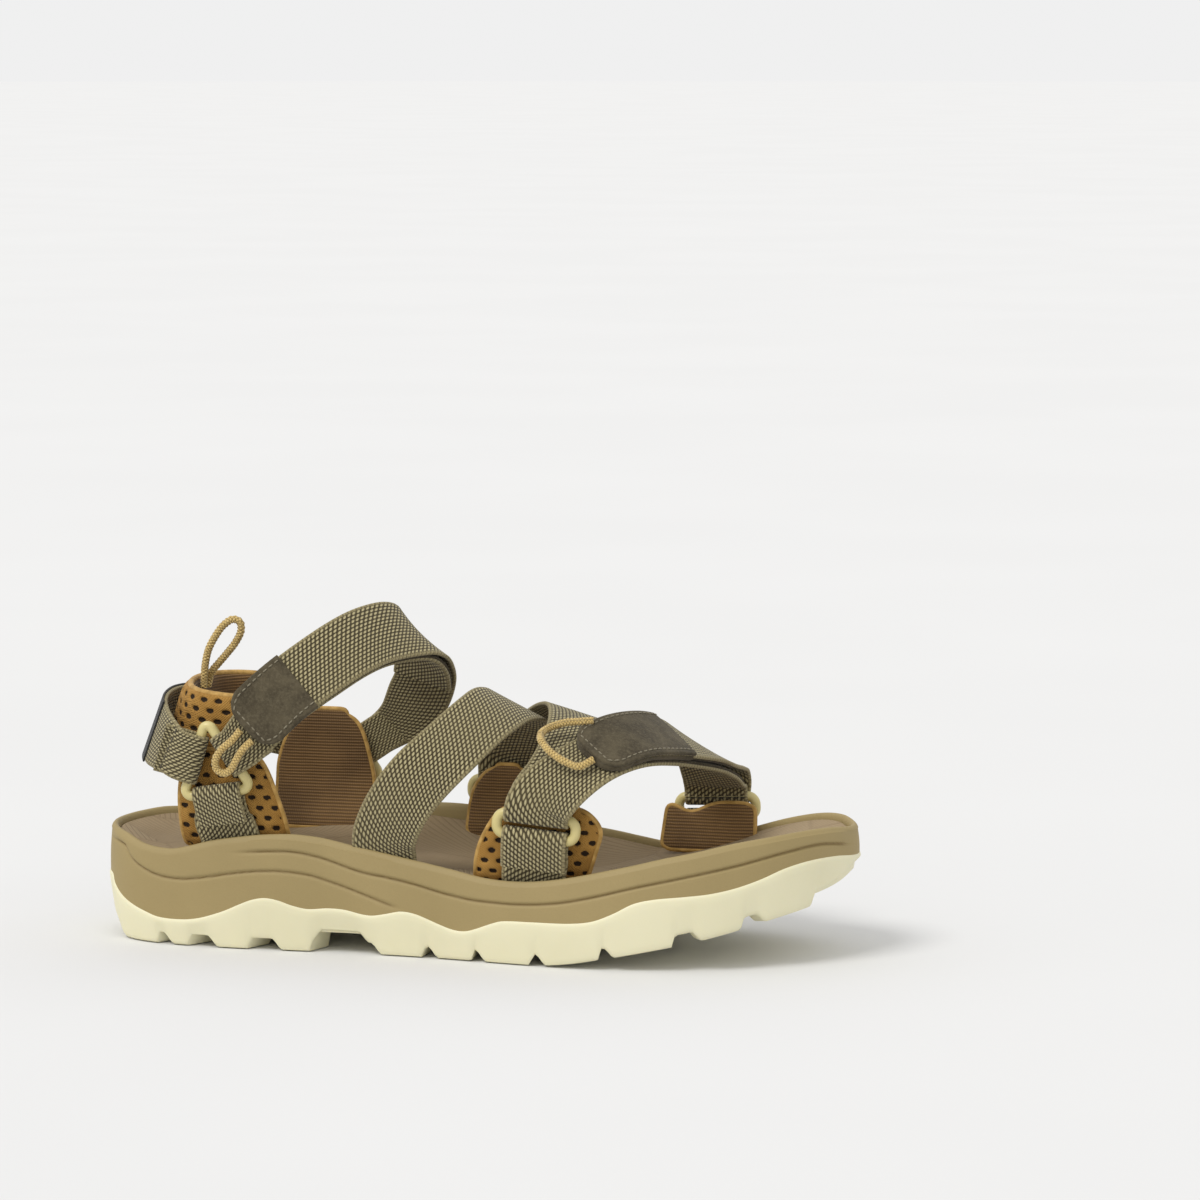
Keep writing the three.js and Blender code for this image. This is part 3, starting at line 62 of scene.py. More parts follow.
    "MFA": [[84.305,47.505,40.005,0.999,0.019,0.037],[84.278,48.627,40.175,0.999,0.019,0.037],[84.252,49.716,40.34,0.999,0.019,0.037],[84.115,50.802,43.503,0.999,0.019,0.037],[84.086,50.561,44.402,0.999,0.019,0.037],[84.074,49.902,45.061,0.999,0.019,0.037],[84.081,49.002,45.302,0.999,0.019,0.037],[84.107,48.102,45.061,0.999,0.019,0.037],[84.144,47.444,44.402,0.999,0.019,0.037],[84.181,47.203,43.503,0.999,0.019,0.037],[84.292,47.205,40.505,0.999,0.019,0.037],[84,45.4,39,27,0,0.5],[84,44.9,36,25,-1,0],[84,44.6,33,25,-1.2,0],[84,44.5,29.4,25,-1.2,0]],
}
SIGN = {"ankle": -1, "under": -1, "heel": -1, "mid": -1, "cross": 1, "front": -1, "flap": 1, "collar": -1, "LHA": -1, "MHA": 1, "LFA": -1, "MMA": 1, "MFA": 1}
SIDE_L = [[-147.5,-1],[-147.453,-2.695],[-147.32,-4.385],[-147.105,-6.067],[-146.811,-7.737],[-146.44,-9.391],[-145.991,-11.026],[-145.461,-12.637],[-144.845,-14.216],[-144.138,-15.757],[-143.348,-17.257],[-142.475,-18.711],[-141.525,-20.115],[-140.498,-21.464],[-139.398,-22.754],[-138.229,-23.983],[-136.996,-25.145],[-135.702,-26.242],[-134.363,-27.282],[-132.982,-28.265],[-131.559,-29.188],[-130.097,-30.047],[-128.599,-30.84],[-127.068,-31.569],[-125.509,-32.235],[-123.926,-32.842],[-122.323,-33.395],[-120.702,-33.894],[-119.067,-34.343],[-117.421,-34.749],[-115.766,-35.119],[-114.105,-35.46],[-112.438,-35.773],[-110.768,-36.063],[-109.093,-36.331],[-107.416,-36.581],[-105.737,-36.814],[-104.055,-37.032],[-102.372,-37.235],[-100.687,-37.426],[-99,-37.601],[-97.311,-37.753],[-95.621,-37.883],[-93.928,-37.993],[-92.235,-38.084],[-90.541,-38.16],[-88.847,-38.223],[-87.152,-38.274],[-85.457,-38.317],[-83.761,-38.353],[-82.066,-38.384],[-80.371,-38.412],[-78.675,-38.439],[-76.98,-38.466],[-75.284,-38.495],[-73.589,-38.519],[-71.893,-38.53],[-70.197,-38.528],[-68.502,-38.517],[-66.806,-38.498],[-65.111,-38.475],[-63.415,-38.449],[-61.72,-38.423],[-60.024,-38.398],[-58.329,-38.376],[-56.633,-38.359],[-54.937,-38.349],[-53.242,-38.347],[-51.546,-38.355],[-49.85,-38.374],[-48.155,-38.405],[-46.46,-38.45],[-44.765,-38.509],[-43.071,-38.577],[-41.377,-38.65],[-39.683,-38.727],[-37.989,-38.809],[-36.296,-38.895],[-34.603,-38.987],[-32.91,-39.083],[-31.217,-39.185],[-29.525,-39.292],[-27.833,-39.405],[-26.141,-39.524],[-24.45,-39.648],[-22.76,-39.779],[-21.069,-39.916],[-19.38,-40.061],[-17.691,-40.212],[-16.003,-40.37],[-14.315,-40.537],[-12.629,-40.711],[-10.943,-40.894],[-9.258,-41.087],[-7.575,-41.294],[-5.894,-41.517],[-4.215,-41.752],[-2.537,-41.997],[-0.861,-42.254],[0.814,-42.518],[2.488,-42.789],[4.161,-43.067],[5.833,-43.349],[7.504,-43.635],[9.175,-43.922],[10.846,-44.211],[12.517,-44.5],[14.189,-44.786],[15.86,-45.071],[17.533,-45.35],[19.206,-45.624],[20.881,-45.89],[22.557,-46.146],[24.235,-46.392],[25.914,-46.627],[27.593,-46.863],[29.272,-47.101],[30.951,-47.339],[32.63,-47.578],[34.309,-47.815],[35.988,-48.049],[37.668,-48.279],[39.349,-48.503],[41.031,-48.72],[42.714,-48.929],[44.398,-49.126],[46.083,-49.312],[47.77,-49.483],[49.459,-49.637],[51.149,-49.773],[52.841,-49.888],[54.534,-49.979],[56.229,-50.047],[57.923,-50.099],[59.619,-50.133],[61.314,-50.149],[63.01,-50.145],[64.705,-50.119],[66.4,-50.07],[68.095,-49.998],[69.788,-49.902],[71.479,-49.781],[73.168,-49.636],[74.855,-49.465],[76.54,-49.271],[78.222,-49.054],[79.9,-48.814],[81.576,-48.555],[83.249,-48.276],[84.918,-47.979],[86.584,-47.663],[88.246,-47.327],[89.904,-46.971],[91.557,-46.594],[93.205,-46.196],[94.848,-45.775],[96.484,-45.33],[98.113,-44.86],[99.734,-44.362],[101.346,-43.834],[102.946,-43.275],[104.535,-42.681],[106.109,-42.05],[107.668,-41.384],[109.212,-40.683],[110.741,-39.95],[112.254,-39.184],[113.75,-38.386],[115.23,-37.558],[116.692,-36.7],[118.136,-35.811],[119.562,-34.894],[120.97,-33.948],[122.358,-32.974],[123.726,-31.972],[125.073,-30.943],[126.398,-29.885],[127.699,-28.798],[128.975,-27.681],[130.222,-26.532],[131.438,-25.349],[132.621,-24.135],[133.767,-22.885],[134.876,-21.603],[135.946,-20.287],[136.973,-18.938],[137.96,-17.559],[138.903,-16.15],[139.804,-14.714],[140.668,-13.255],[141.499,-11.776],[142.296,-10.28],[143.059,-8.766],[143.788,-7.235],[144.48,-5.687],[145.131,-4.121],[145.737,-2.538],[146.291,-0.935],[146.783,0.688],[147.193,2.333],[147.5,4]]
SIDE_M = [[-147.5,-1],[-147.453,0.695],[-147.32,2.386],[-147.105,4.068],[-146.811,5.738],[-146.44,7.392],[-145.991,9.028],[-145.46,10.638],[-144.844,12.218],[-144.14,13.761],[-143.362,15.268],[-142.507,16.732],[-141.571,18.146],[-140.55,19.5],[-139.448,20.789],[-138.268,22.006],[-137.019,23.153],[-135.709,24.23],[-134.363,25.262],[-132.989,26.255],[-131.583,27.203],[-130.145,28.102],[-128.675,28.948],[-127.172,29.733],[-125.639,30.458],[-124.077,31.119],[-122.489,31.714],[-120.878,32.242],[-119.246,32.705],[-117.602,33.119],[-115.946,33.488],[-114.283,33.816],[-112.612,34.107],[-110.935,34.363],[-109.254,34.587],[-107.569,34.781],[-105.882,34.948],[-104.192,35.091],[-102.5,35.209],[-100.807,35.306],[-99.113,35.384],[-97.418,35.444],[-95.722,35.486],[-94.027,35.508],[-92.331,35.496],[-90.636,35.452],[-88.941,35.382],[-87.248,35.291],[-85.555,35.183],[-83.863,35.063],[-82.172,34.932],[-80.482,34.796],[-78.792,34.655],[-77.102,34.513],[-75.412,34.371],[-73.722,34.234],[-72.031,34.101],[-70.339,33.976],[-68.647,33.861],[-66.955,33.758],[-65.261,33.668],[-63.567,33.595],[-61.872,33.54],[-60.176,33.504],[-58.48,33.481],[-56.785,33.462],[-55.089,33.447],[-53.393,33.434],[-51.697,33.426],[-50.001,33.422],[-48.305,33.422],[-46.609,33.427],[-44.913,33.438],[-43.217,33.453],[-41.521,33.475],[-39.826,33.504],[-38.13,33.539],[-36.435,33.581],[-34.74,33.631],[-33.045,33.689],[-31.35,33.757],[-29.656,33.834],[-27.962,33.922],[-26.269,34.02],[-24.577,34.13],[-22.885,34.255],[-21.195,34.394],[-19.506,34.548],[-17.819,34.719],[-16.134,34.908],[-14.45,35.113],[-12.768,35.333],[-11.089,35.569],[-9.412,35.819],[-7.736,36.081],[-6.063,36.357],[-4.391,36.643],[-2.721,36.939],[-1.053,37.247],[0.613,37.562],[2.278,37.885],[3.942,38.215],[5.604,38.55],[7.266,38.89],[8.926,39.233],[10.587,39.579],[12.247,39.926],[13.907,40.272],[15.567,40.62],[17.224,40.981],[18.876,41.363],[20.525,41.759],[22.17,42.171],[23.813,42.594],[25.452,43.028],[27.09,43.469],[28.726,43.916],[30.361,44.365],[31.997,44.814],[33.633,45.261],[35.27,45.702],[36.91,46.133],[38.553,46.554],[40.201,46.957],[41.853,47.341],[43.51,47.702],[45.173,48.032],[46.84,48.346],[48.508,48.65],[50.179,48.944],[51.851,49.225],[53.526,49.491],[55.203,49.741],[56.883,49.973],[58.566,50.186],[60.251,50.377],[61.939,50.544],[63.629,50.688],[65.32,50.807],[67.014,50.899],[68.708,50.966],[70.404,51.007],[72.1,51.022],[73.795,51.013],[75.491,50.98],[77.186,50.924],[78.88,50.846],[80.573,50.745],[82.265,50.623],[83.954,50.478],[85.642,50.313],[87.328,50.126],[89.011,49.917],[90.691,49.688],[92.369,49.437],[94.043,49.165],[95.713,48.871],[97.379,48.556],[99.042,48.22],[100.7,47.864],[102.353,47.486],[104.001,47.087],[105.644,46.665],[107.28,46.22],[108.91,45.75],[110.532,45.254],[112.144,44.73],[113.747,44.175],[115.337,43.586],[116.913,42.96],[118.472,42.291],[120.009,41.575],[121.523,40.811],[123.014,40.002],[124.478,39.146],[125.916,38.248],[127.326,37.305],[128.709,36.324],[130.063,35.303],[131.39,34.247],[132.689,33.157],[133.961,32.035],[135.201,30.878],[136.402,29.68],[137.56,28.441],[138.672,27.162],[139.735,25.84],[140.746,24.478],[141.699,23.076],[142.591,21.634],[143.418,20.153],[144.175,18.636],[144.901,17.103],[145.593,15.554],[146.226,13.981],[146.775,12.377],[147.214,10.739],[147.517,9.071],[147.669,7.383],[147.663,5.688],[147.5,4]]
LF = [[18.734,-46.5,58.384],[49.004,-46.5,55.582],[48.266,-46.5,47.616],[17.996,-46.5,50.418]]
MM = [[-11.6,35.761,57.48],[18.748,37.447,56.918],[18.6,37.439,48.92],[-11.748,35.753,49.482]]
MF = [[68.665,48.716,50.935],[99.039,49.278,52.06],[99.335,49.284,44.065],[68.961,48.722,42.94]]
LH = [[-97.5,-39,88.5],[-79.3,-39,62.6],[-106.8,-39,58.2]]
MH = [[-64.9,36.6,80.4],[-48.6,36.6,56.4],[-77.6,36.6,53]]
S3 = 0.001


def M3(p):
    return (np.asarray(p, float) + SHIFT) * S3


# ---------------------------------------------------------------- camera
YAW, PITCH = math.radians(12.53780453), math.radians(6.81370082)
cam_data = bpy.data.cameras.new("camera")
cam = bpy.data.objects.new("camera", cam_data)
bpy.context.scene.collection.objects.link(cam)
right = Vector((math.cos(YAW), math.sin(YAW), 0))
back = Vector((math.sin(YAW) * math.cos(PITCH), -math.cos(YAW) * math.cos(PITCH), math.sin(PITCH)))
upv = back.cross(right)
cam.matrix_world = Matrix.Translation(Vector(M3([441.41755, -1770.42910, 350.33807]))) @ Matrix((right, upv, back)).transposed().to_4x4()
cam_data.sensor_width = 36
cam_data.lens = 143.6865
cam_data.clip_end = 100
bpy.context.scene.camera = cam


# ---------------------------------------------------------------- curves
def table(pts):
    P = np.array(pts, float)
    n = len(P)
    m = np.array([(P[min(n - 1, i + 1), 1] - P[max(0, i - 1), 1]) / (P[min(n - 1, i + 1), 0] - P[max(0, i - 1), 0]) for i in range(n)])

    def f(x):
        x = np.clip(np.asarray(x, float), P[0, 0], P[-1, 0])
        i = np.clip(np.searchsorted(P[:, 0], x, side="right") - 1, 0, n - 2)
        h = P[i + 1, 0] - P[i, 0]
        t = (x - P[i, 0]) / h
        return ((2 * t**3 - 3 * t**2 + 1) * P[i, 1] + (t**3 - 2 * t**2 + t) * h * m[i] + (-2 * t**3 + 3 * t**2) * P[i + 1, 1] + (t**3 - t**2) * h * m[i + 1])

    return f


def spline(pts, t, centripetal=True, closed=False):
    """point at t (0..1) on a Catmull-Rom curve through pts"""
    P = np.array(pts, float)
    n = len(P)
    if closed:
        P = np.vstack([P[-1], P, P[0], P[1]])
        seg = n
    else:
        P = np.vstack([2 * P[0] - P[1], P, 2 * P[-1] - P[-2]])
        seg = n - 1
    p = np.clip(np.asarray(t, float), 0, 1) * seg
    i = np.minimum(p.astype(int), seg - 1)
    w = (p - i)[:, None]
    a, b, c, d = P[i], P[i + 1], P[i + 2], P[i + 3]
    if centripetal:
        def dt(u, v):
            return np.sqrt(np.linalg.norm(v - u, axis=1))[:, None]
        d0, d1, d2 = dt(a, b), dt(b, c), dt(c, d)
        d1 = np.where(d1 < 1e-4, 1, d1)
        d0 = np.where(d0 < 1e-4, d1, d0)
        d2 = np.where(d2 < 1e-4, d1, d2)
        t1 = ((b - a) / d0 - (c - a) / (d0 + d1) + (c - b) / d1) * d1
        t2 = ((c - b) / d1 - (d - b) / (d1 + d2) + (d - c) / d2) * d1
    else:
        t1, t2 = 0.5 * (c - a), 0.5 * (d - b)
    return b + t1 * w + (-3 * b + 3 * c - 2 * t1 - t2) * w**2 + (2 * b - 2 * c + t1 + t2) * w**3


def unit(v):
    return v / np.maximum(1e-12, np.linalg.norm(v, axis=-1, keepdims=True))


def dotv(a, b):
    return (a * b).sum(-1, keepdims=True)


def ribbon_frame(st, sign):
    st = np.array(st, float)

    def f(t):
        t = np.atleast_1d(np.asarray(t, float))
        e = 0.002
        c = spline(st[:, :3], t)
        tan = unit(spline(st[:, :3], np.minimum(1, t + e)) - spline(st[:, :3], np.maximum(0, t - e)))
        w = unit(spline(unit(st[:, 3:6]), t, False))
        w = unit(w - tan * dotv(w, tan))
        n = unit(np.cross(tan, w)) * sign
        return c, tan, w, n

    return f


def smooth(a, b, x):
    t = np.clip((np.asarray(x, float) - a) / (b - a), 0, 1)
    return t * t * (3 - 2 * t)


# ---------------------------------------------------------------- mesh helpers
def new_mesh(name, verts, faces, mats, uv=None, attr=None, face_mat=None, smooth_on=True, sharp=None):
    me = bpy.data.meshes.new(name)
    v = M3(verts)
    me.from_pydata(v.tolist(), [], faces if isinstance(faces, list) else faces.tolist())
    me.update()
    if uv is not None:
        lay = me.uv_layers.new(name="UVMap")
        li = np.zeros(len(me.loops), np.int32)
        me.loops.foreach_get("vertex_index", li)
        lay.data.foreach_set("uv", (np.asarray(uv, float)[li] * 0.1).astype(np.float32).ravel())
    if attr is not None:
        for an, av in attr.items():
            a = me.attributes.new(an, "FLOAT", "POINT")
            a.data.foreach_set("value", np.asarray(av, np.float32))
    for m in mats:
        me.materials.append(m)
    if face_mat is not None:
        me.polygons.foreach_set("material_index", np.asarray(face_mat, np.int32))
    me.polygons.foreach_set("use_smooth", np.ones(len(me.polygons), bool) if smooth_on else np.zeros(len(me.polygons), bool))
    if sharp is not None:
        me.set_sharp_from_angle(angle=math.radians(sharp))
    ob = bpy.data.objects.new(name, me)
    bpy.context.scene.collection.objects.link(ob)
    return ob


def place(ob, body, slot, *nodes):
    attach(ob, body)
    if nodes:
        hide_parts(*nodes)
    return ob


def grid_faces(nr, nc, wrap=False, base=0, flip=False):
    r = np.arange(nr - 1)[:, None]
    c = np.arange(nc if wrap else nc - 1)[None, :]
    a = r * nc + c
    b = r * nc + (c + 1) % nc
    q = np.stack([a, b, b + nc, a + nc], -1).reshape(-1, 4) + base
    return q[:, ::-1] if flip else q


def orient(faces, verts):
    """turn all faces over if the closed mesh is inside out"""
    v = np.asarray(verts, float)
    vol = 0.0
    for f in faces:
        a = v[f[0]]
        for k in range(1, len(f) - 1):
            vol += np.dot(a, np.cross(v[f[k]], v[f[k + 1]]))
    if vol < 0:
        return [list(f)[::-1] for f in faces]
    return [list(f) for f in faces]


def loft(rings, cap=True):
    """closed rings (n, k, 3) -> verts, faces"""
    n, k = rings.shape[:2]
    faces = grid_faces(n, k, True).tolist()
    if cap:
        faces.append(list(range(k))[::-1])
        faces.append([(n - 1) * k + i for i in range(k)])
    v = rings.reshape(-1, 3)
    return v, orient(faces, v)


def along(fr, t0, t1, step):
    """parameters so that the points along a ribbon are step apart"""
    ts = np.linspace(t0, t1, 1500)
    c = fr(ts)[0]
    s = np.concatenate([[0], np.cumsum(np.linalg.norm(np.diff(c, axis=0), axis=1))])
    n = max(6, int(s[-1] / step))
    q = np.linspace(0, s[-1], n + 1)
    return np.interp(q, s, ts), q


def strap(name, key, mats, width=WEB_W, o=(0.0, WEB_T), t=(0.0, 1.0), step=0.9, nw=14, ends=None, shape=None, er=0.62, crown=0.0, wob=0.0, seed=1, u0=0.0, cup=0.0):
    st, sign = D[key], SIGN[key]
    fr = ribbon_frame(st, sign)
    ts, s = along(fr, t[0], t[1], step)
    c, tan, w, n = fr(ts)
    N = len(st) - 1
    wd = np.full(len(ts), width)
    if ends is not None:
        wd = wd * ends(ts * N)
    if shape is not None:
        wd = wd * shape(s, s[-1])
    # cross-section: rounded flat band, starting at the +w edge on the outer face
    x = np.linspace(-1, 1, nw + 1)
    x = np.sign(x) * (1 - (1 - np.abs(x)) ** 1.3)
    half_t = (o[1] - o[0]) / 2
    mid = (o[0] + o[1]) / 2
    ang = np.linspace(90, -90, 5)[1:-1] * math.pi / 180
    er_ = min(er, half_t)
    top = [(a, half_t, 0) for a in x]
    e1 = [(1, math.sin(q) * half_t, math.cos(q) * er_) for q in ang]
    bot = [(a, -half_t, 0) for a in x[::-1]]
    e2 = [(-1, -math.sin(q) * half_t, -math.cos(q) * er_) for q in ang]
    prof = np.array(top + e1 + bot + e2)
    rng = np.random.RandomState(seed)
    ph = rng.rand(4) * 6.28
    wv = wob * (np.sin(s / 17 + ph[0]) + 0.6 * np.sin(s / 9.3 + ph[1]))
    K = len(prof)
    rings = np.zeros((len(ts), K, 3))
    hw = (wd / 2 - er_)
    for j, (a, b, e) in enumerate(prof):
        lat = a * hw + e
        v = a
        off = mid + b + crown * (1 - v * v) + cup * v * v + wv * v * 0.5
        rings[:, j] = c + w * lat[:, None] + n * off[:, None] if isinstance(off, np.ndarray) else c + w * lat[:, None] + n * off
    v, f = loft(rings)
    uu = np.repeat(s + u0, K)
    vv = np.tile(prof[:, 0] * width / 2 + prof[:, 2], len(ts))
    ob = new_mesh(name, v, f, mats, uv=np.stack([uu, vv], 1), sharp=60)
    return ob


def stitch_mesh(name, items, mat, length=2.3, rad=0.36, body="sandal", slot="webbing"):
    """small raised stitches; items are (point, direction, normal)"""
    th = np.linspace(0, math.pi, 6)
    rings = []
    for q in th:
        r = max(0.03, math.sin(q)) ** 0.7
        rings.append([(-math.cos(q) * 0.5, r * math.cos(p), r * math.sin(p)) for p in np.linspace(0, 2 * math.pi, 7)[:-1]])
    T = np.array(rings)
    tv, tf = T.reshape(-1, 3), None
    _, tf = loft(T)
    V, F = [], []
    for p, d, n in items:
        d = unit(np.asarray(d, float))
        n = np.asarray(n, float)
        n = unit(n - d * float((d * n).sum()))
        b = np.cross(n, d)
        base = len(V) * len(tv)
        V.append(np.asarray(p, float) + tv[:, :1] * length * d + tv[:, 1:2] * rad * b + tv[:, 2:3] * rad * n)
        F += [[i + base for i in f] for f in tf]
    ob = new_mesh(name, np.vstack(V), F, [mat])
    return place(ob, body, slot)


def ribbon_stitches(key, rows, o, spacing=3.1):
    """rows: list of (kind, a, b, c): 'x' across at station a from v=b to v=c; 'l' along from station a to b at v=c"""
    fr = ribbon_frame(D[key], SIGN[key])
    N = len(D[key]) - 1
    out = []
    for kind, a, b, c_ in rows:
        if kind == "x":
            c, tan, w, n = fr([a / N])
            m = int(abs(c_ - b) / spacing)
            for v in np.linspace(b, c_, m + 1):
                out.append((c[0] + w[0] * v + n[0] * o, w[0], n[0]))
        else:
            ts, s = along(fr, a / N, b / N, spacing)
            c, tan, w, n = fr(ts)
            for i in range(len(ts)):
                out.append((c[i] + w[i] * c_ + n[i] * o, tan[i], n[i]))
    return out


def tube(pts, r, ns=12, step=0.7, closed=False, braid=0.0, flat=1.0, ctr=True):
    """sweep with a twist-free frame; returns verts, faces, uv"""
    P = spline(pts, np.linspace(0, 1, 2000), ctr, closed)
    s = np.concatenate([[0], np.cumsum(np.linalg.norm(np.diff(P, axis=0), axis=1))])
    n = max(8, int(s[-1] / step))
    q = np.linspace(0, s[-1], n + 1)
    if closed:
        q = q[:-1]
    C = np.stack([np.interp(q, s, P[:, k]) for k in range(3)], 1)
    if closed:
        T = unit(np.roll(C, -1, 0) - np.roll(C, 1, 0))
    else:
        T = unit(np.gradient(C, axis=0))
    ref = np.array([0.0, 0, 1.0]) if abs(T[0][2]) < 0.8 else np.array([1.0, 0, 0])
    U = np.zeros_like(C)
    u = unit(ref - T[0] * (ref * T[0]).sum())
    for i in range(len(C)):
        u = unit(u - T[i] * (u * T[i]).sum())
        U[i] = u
    if closed:
        # spread the leftover twist
        ue = unit(U[-1] - T[0] * (U[-1] * T[0]).sum())
        ang = math.atan2(float((np.cross(ue, U[0]) * T[0]).sum()), float((ue * U[0]).sum()))
        Vv = np.cross(T, U)
        a = ang * np.arange(len(C)) / len(C)
        U = U * np.cos(a)[:, None] + Vv * np.sin(a)[:, None]
    Vv = np.cross(T, U)
    a = np.linspace(0, 2 * math.pi, ns + 1)[:-1]
    R = np.full((len(C), ns), r)
    if braid:
        ss = q[:, None]
        R = R + braid * np.abs(np.sin(2 * a[None, :] + ss * 2.1)) * np.abs(np.sin(-2 * a[None, :] + ss * 2.1)) - braid * 0.4
    rings = C[:, None, :] + U[:, None, :] * (np.cos(a) * R)[..., None] + Vv[:, None, :] * (np.sin(a) * R)[..., None] * flat
    K = ns
    if closed:
        rings2 = np.concatenate([rings, rings[:1]])
        f = grid_faces(len(C) + 1, K, True) % (len(C) * K)
        v = rings.reshape(-1, 3)
        f = orient(f.tolist(), v)
    else:
        v, f = loft(rings)
    uv = np.stack([np.repeat(q, K), np.tile(a / (2 * math.pi) * 9, len(C))], 1)
    return v, f, uv


# ---------------------------------------------------------------- materials
class Mat:
    def __init__(self, name, rough=0.8, spec=0.5, sheen=0.0, color=(0.5, 0.5, 0.5)):
        self.m = bpy.data.materials.new(name)
        self.m.use_nodes = True
        self.nt = self.m.node_tree
        self.b = self.nt.nodes["Principled BSDF"]
        self.b.inputs["Roughness"].default_value = rough
        self.b.inputs["Specular IOR Level"].default_value = spec
        self.b.inputs["Sheen Weight"].default_value = sheen
        self.b.inputs["Sheen Roughness"].default_value = 0.5
        self.b.inputs["Base Color"].default_value = (*color, 1)

    def n(self, kind, **props):
        nd = self.nt.nodes.new(kind)
        for k, v in props.items():
            setattr(nd, k, v)
        return nd

    def link(self, a, b):
        self.nt.links.new(a, b)

    def val(self, sock, x):
        if isinstance(x, (int, float)):
            sock.default_value = x
        elif isinstance(x, tuple):
            sock.default_value = (*x, 1) if len(x) == 3 and len(sock.default_value) == 4 else x
        else:
            self.link(x, sock)

    def math(self, op, a, b=None, c=None, clamp=False):
        nd = self.n("ShaderNodeMath", operation=op)
        nd.use_clamp = clamp
        self.val(nd.inputs[0], a)
        if b is not None:
            self.val(nd.inputs[1], b)
        if c is not None:
            self.val(nd.inputs[2], c)
        return nd.outputs[0]

    def mix(self, f, a, b):
        nd = self.n("ShaderNodeMix", data_type="RGBA")
        self.val(nd.inputs[0], f)
        self.val(nd.inputs[6], a)
        self.val(nd.inputs[7], b)
        return nd.outputs[2]

    def range(self, x, a, b, c=0.0, d=1.0):
        nd = self.n("ShaderNodeMapRange", interpolation_type="SMOOTHSTEP")
        self.val(nd.inputs[0], x)
        for i, q in enumerate((a, b, c, d)):
            nd.inputs[i + 1].default_value = q
        return nd.outputs[0]

    def uv(self):
        """along and across, in millimetres"""
        t = self.n("ShaderNodeUVMap", uv_map="UVMap")
        s = self.n("ShaderNodeSeparateXYZ")
        self.link(t.outputs[0], s.inputs[0])
        return self.math("MULTIPLY", s.outputs[0], 10.0), self.math("MULTIPLY", s.outputs[1], 10.0)

    def obj(self):
        t = self.n("ShaderNodeTexCoord")
        return t.outputs["Object"]

    def xyz(self):
        s = self.n("ShaderNodeSeparateXYZ")
        self.link(self.obj(), s.inputs[0])
        return s.outputs

    def noise(self, scale, detail=3.0, rough=0.5, vec=None, dist=0.0):
        nd = self.n("ShaderNodeTexNoise")
        self.link(vec if vec is not None else self.obj(), nd.inputs["Vector"])
        nd.inputs["Scale"].default_value = scale
        nd.inputs["Detail"].default_value = detail
        nd.inputs["Roughness"].default_value = rough
        nd.inputs["Distortion"].default_value = dist
        return nd.outputs[0]

    def attr(self, name):
        return self.n("ShaderNodeAttribute", attribute_name=name).outputs["Fac"]

    def color(self, c):
        self.val(self.b.inputs["Base Color"], c)

    def bump(self, h, dist_mm=0.2, strength=1.0, prev=None):
        nd = self.n("ShaderNodeBump")
        nd.inputs["Strength"].default_value = strength
        nd.inputs["Distance"].default_value = dist_mm * 0.001
        self.link(h, nd.inputs["Height"])
        if prev is not None:
            self.link(prev, nd.inputs["Normal"])
        self.link(nd.outputs[0], self.b.inputs["Normal"])
        return nd.outputs[0]


def webbing(name, light, mid_, dark, pu=1.95, pv=1.5, fine=0.0):
    m = Mat(name, rough=0.86, spec=0.25, sheen=0.12)
    u, v = m.uv()
    j = m.math("MULTIPLY", m.math("SUBTRACT", m.noise(260, 2), 0.5), 0.9)
    row = m.math("DIVIDE", m.math("ADD", v, m.math("MULTIPLY", j, 0.18)), pv)
    fr = m.math("FRACT", row)
    ph = m.math("MULTIPLY", m.math("ADD", m.math("ADD", u, m.math("MULTIPLY", j, 0.22)), m.math("MULTIPLY", m.math("SUBTRACT", fr, 0.5), pv * 0.62)), 2 * math.pi / pu)
    dash = m.math("MULTIPLY_ADD", m.math("COSINE", m.math("ADD", ph, m.math("MULTIPLY", m.math("FLOOR", row), math.pi))), 0.5, 0.5)
    env = m.math("SINE", m.math("MULTIPLY", fr, math.pi))
    f = m.math("MULTIPLY", env, m.math("MULTIPLY_ADD", dash, 0.8, 0.2))
    hgt = m.range(f, 0.10, 0.62)
    fib = m.math("MULTIPLY_ADD", m.math("SINE", m.math("MULTIPLY", m.math("ADD", u, m.math("MULTIPLY", v, 0.55)), 2 * math.pi / 0.42)), 0.5, 0.5)
    edge = m.range(m.math("ABSOLUTE", v), 11.5, 12.1)
    sel = m.math("MULTIPLY_ADD", m.math("SINE", m.math("MULTIPLY", u, 2 * math.pi / 1.1)), 0.5, 0.5)
    hh = m.mix(edge, hgt, m.math("MULTIPLY_ADD", sel, 0.5, 0.5))
    body = m.mix(m.range(f, 0.35, 0.85), mid_, light)
    body = m.mix(m.math("MULTIPLY", fib, 0.28), body, tuple(x * 0.55 for x in mid_))
    c = m.mix(m.range(hgt, 0.08, 0.66), dark, body)
    c = m.mix(m.math("MULTIPLY", edge, 0.7), c, m.mix(sel, tuple(x * 0.62 for x in mid_), tuple(x * 1.2 for x in mid_)))
    big = m.noise(38, 3)
    c = m.mix(m.math("MULTIPLY", m.range(big, 0.35, 0.7), 0.16), c, tuple(x * 0.7 for x in mid_))
    m.color(c)
    hs = m.math("ADD", m.math("MULTIPLY", hh, 0.8), m.math("MULTIPLY", fib, 0.2))
    m.bump(hs, 0.42, 0.9)
    return m.m


LIGHT, MIDC, DARK = (0.535, 0.468, 0.262), (0.290, 0.240, 0.122), (0.052, 0.040, 0.018)
WEB = webbing("webbing_weave", LIGHT, MIDC, DARK)
# painted shade: a darker copy of the webbing weave, standing in for the shaded inner face of the straps
WEB_IN_SHADED = webbing("webbing_inner_shaded", tuple(x * 0.75 for x in LIGHT), tuple(x * 0.8 for x in MIDC), DARK, 1.7, 1.5)


